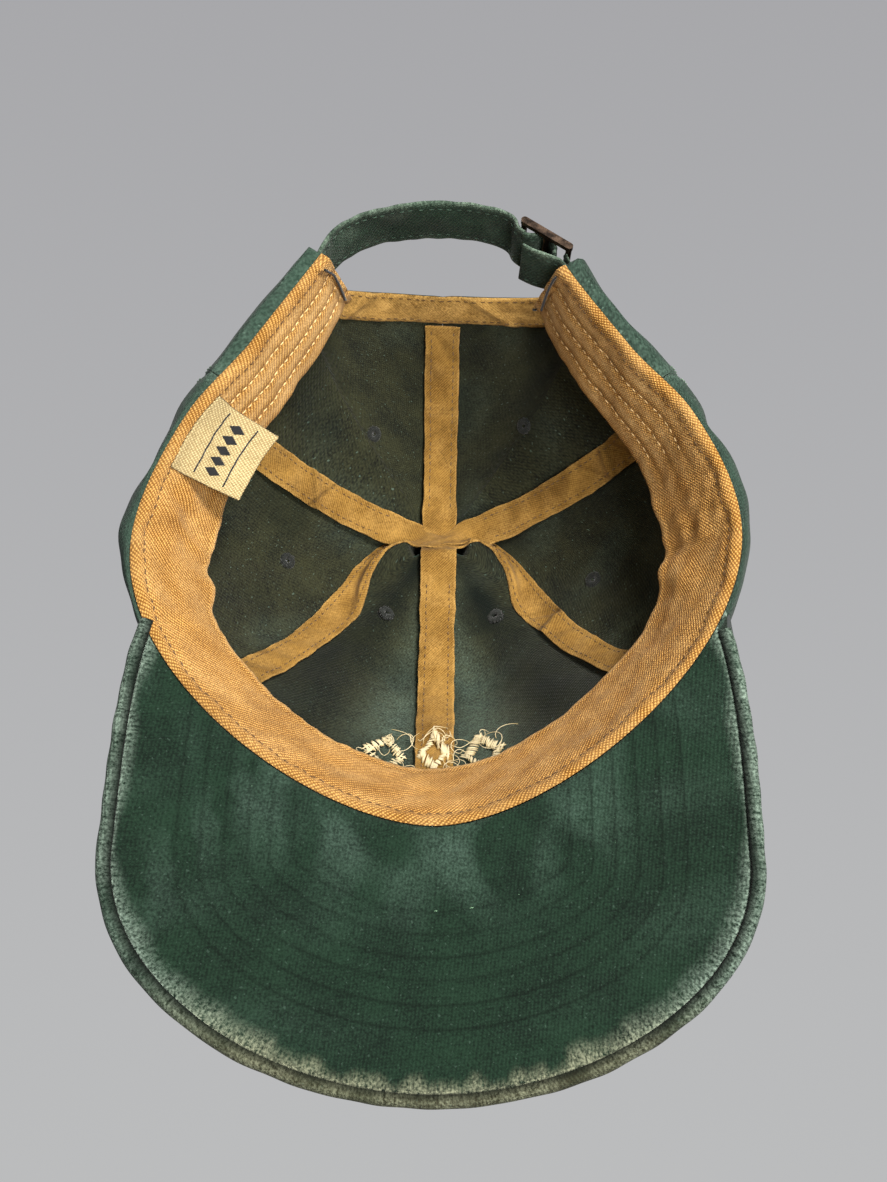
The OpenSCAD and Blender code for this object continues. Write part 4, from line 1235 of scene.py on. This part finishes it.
def embroidery():
    """A row of plain diamonds outside, and inside their backing threads with loose ends."""
    outside, inside = Threads(), Threads()
    for c in MOTIF_W:
        mid = np.array([c, 0.36])
        top, bottom = mid + [0, 0.07], mid - [0, 0.07]
        left, right = mid - [0.08, 0], mid + [0.08, 0]
        for a, b in (((top, left), (top, right)), ((bottom, left), (bottom, right))):
            satin(outside, (a, b), -0.3, -1, int(90 + 100 * c), 0.4, 0.27)
    rng = np.random.default_rng(77)
    for c in MOTIF_W:
        extra = 1.6 if c == 0 else 0.0
        mid = np.array([c, 0.325])
        ends = [mid + [0, 0.045], mid + [0.06, 0], mid - [0, 0.045], mid - [0.06, 0]]
        for k, (a, b) in enumerate(zip(ends, ends[1:] + ends[:1])):
            side = np.array([(b - a)[1] * 0.2, -(b - a)[0] * 0.1]) * rng.uniform(0.7, 1.5)
            past = (b - a) * rng.uniform(0.05, 0.3)
            satin(inside, ((a + side - past, b + side), (a - side, b - side + past)), TAPE_DEPTH + extra, 1,
                  10 * k + int(50 + 100 * c), 0.55, 0.24)
    for k in range(26):
        mid = np.array([rng.uniform(-0.28, 0.28), rng.uniform(0.27, 0.37)])
        n = 26
        turn = np.linspace(0, rng.uniform(3, 8), n) + rng.uniform(0, 6)
        w = mid[0] + rng.uniform(0.01, 0.045) * np.cos(turn) + np.linspace(0, rng.normal() * 0.07, n)
        v = mid[1] + rng.uniform(0.005, 0.022) * np.sin(turn)
        line = crown_soft(w, v, TAPE_DEPTH + 1.4 + 1.2 * np.abs(np.sin(turn * 0.7)))
        inside.tubes(line[None], -crown_out(w, v)[None], np.full(n, 0.1))
    place(outside.piece("embroidery_threads", "embroidery", THREAD_CREAM))
    place(inside.piece("embroidery_back_threads", "embroidery_backing", THREAD_CREAM))


embroidery()


# ---------------------------------------------------------------- CAD nodes that keep their shape
for node, material in (("buckle_frame", BUCKLE_METAL), ("visor_board", BOARD), ("button_shell", RIVET_METAL),
                       ("button_rivet", RIVET_METAL)):
    data = frame["nodes"][node].data
    data.materials.clear()
    data.materials.append(material)


# ---------------------------------------------------------------- stage, light and camera
def stage():
    """A floor that shows from above, and lets a view from below look through it."""
    mesh = bpy.data.meshes.new("floor")
    half = 3.0
    corners = [(-half, -half, 0), (half, -half, 0), (half, half, 0), (-half, half, 0)]
    mesh.from_pydata(corners, [], [(0, 1, 2, 3)])
    floor = bpy.data.objects.new("floor", mesh)
    bpy.context.scene.collection.objects.link(floor)
    grey = (0.62, 0.62, 0.63, 1)
    look = Look("floor", Roughness=0.9, Base_Color=grey, Emission_Color=grey, Emission_Strength=0.35)
    tree = look.tree
    clear = tree.nodes.new("ShaderNodeBsdfTransparent")
    pick = tree.nodes.new("ShaderNodeMixShader")
    tree.links.new(look.node("NewGeometry", "Backfacing"), pick.inputs[0])
    tree.links.new(look.shader.outputs[0], pick.inputs[1])
    tree.links.new(clear.outputs[0], pick.inputs[2])
    tree.links.new(pick.outputs[0], tree.nodes["Material Output"].inputs["Surface"])
    mesh.materials.append(look.material)
    floor.visible_shadow = False
    floor.visible_diffuse = False
    floor.visible_glossy = False


def light(name, place_at, aim, size, watts, colour=(1, 1, 1)):
    data = bpy.data.lights.new(name, "AREA")
    data.size = size
    data.energy = watts
    data.color = colour
    lamp = bpy.data.objects.new(name, data)
    lamp.location = place_at
    lamp.rotation_euler = (Vector(aim) - Vector(place_at)).to_track_quat("-Z", "Y").to_euler()
    bpy.context.scene.collection.objects.link(lamp)


def camera():
    """Looks up into the cap from below and in front, slightly rolled."""
    pitch, roll = math.radians(PITCH), math.radians(ROLL)
    ahead = Vector((0, math.sin(pitch), math.cos(pitch)))
    up = Vector((0, math.cos(pitch), -math.sin(pitch)))
    right = ahead.cross(up)
    right, up = right * math.cos(roll) + up * math.sin(roll), up * math.cos(roll) - right * math.sin(roll)
    data = bpy.data.cameras.new("camera")
    data.sensor_width = SENSOR
    data.lens = LENS
    eye = bpy.data.objects.new("camera", data)
    eye.matrix_world = Matrix(((right.x, up.x, -ahead.x, EYE[0]), (right.y, up.y, -ahead.y, EYE[1]),
                               (right.z, up.z, -ahead.z, EYE[2]), (0, 0, 0, 1)))
    data.clip_start = 0.01
    bpy.context.scene.collection.objects.link(eye)
    bpy.context.scene.camera = eye


def backdrop():
    """Grey world, paler towards the top of the picture, and dimmer as a light than as it looks."""
    world = bpy.data.worlds.new("grey")
    world.use_nodes = True
    sky, link = world.node_tree.nodes, world.node_tree.links.new
    way = sky.new("ShaderNodeTexCoord")
    slope = sky.new("ShaderNodeVectorMath")
    slope.operation = "DOT_PRODUCT"
    slope.inputs[1].default_value = (0, 0.935, -0.353)
    ramp = sky.new("ShaderNodeMapRange")
    for socket, value in zip(ramp.inputs[1:5], (-0.45, 0.45, 1.0, 0.0)):
        socket.default_value = value
    blend = sky.new("ShaderNodeMix")
    blend.data_type = "RGBA"
    blend.inputs[6].default_value = (0.39, 0.39, 0.405, 1)
    blend.inputs[7].default_value = (0.5, 0.505, 0.51, 1)
    link(way.outputs["Generated"], slope.inputs[0])
    link(slope.outputs["Value"], ramp.inputs[0])
    link(ramp.outputs[0], blend.inputs[0])
    link(blend.outputs[2], sky["Background"].inputs["Color"])
    ray = sky.new("ShaderNodeLightPath")
    dim = sky.new("ShaderNodeMapRange")
    dim.inputs[3].default_value = 0.45
    link(ray.outputs["Is Camera Ray"], dim.inputs[0])
    link(dim.outputs[0], sky["Background"].inputs["Strength"])
    bpy.context.scene.world = world


stage()
camera()
light("key", (-0.25, 0.22, -0.6), (0, 0.0, 0.03), 0.22, 9.2, (1, 0.97, 0.92))
light("second", (-0.24, -0.3, -0.58), (0, 0.05, 0.03), 0.25, 5.6, (1, 0.98, 0.95))
light("fill", (0.28, 0.02, -0.6), (0, 0, 0.03), 0.5, 1.0, (1, 0.98, 0.95))
light("top", (-0.3, -0.3, 0.9), (0, 0, 0.05), 0.7, 11.0)
light("back", (0.4, 0.6, 0.6), (0, 0, 0.05), 0.6, 5.0)
backdrop()
bpy.context.scene.view_settings.view_transform = "Standard"
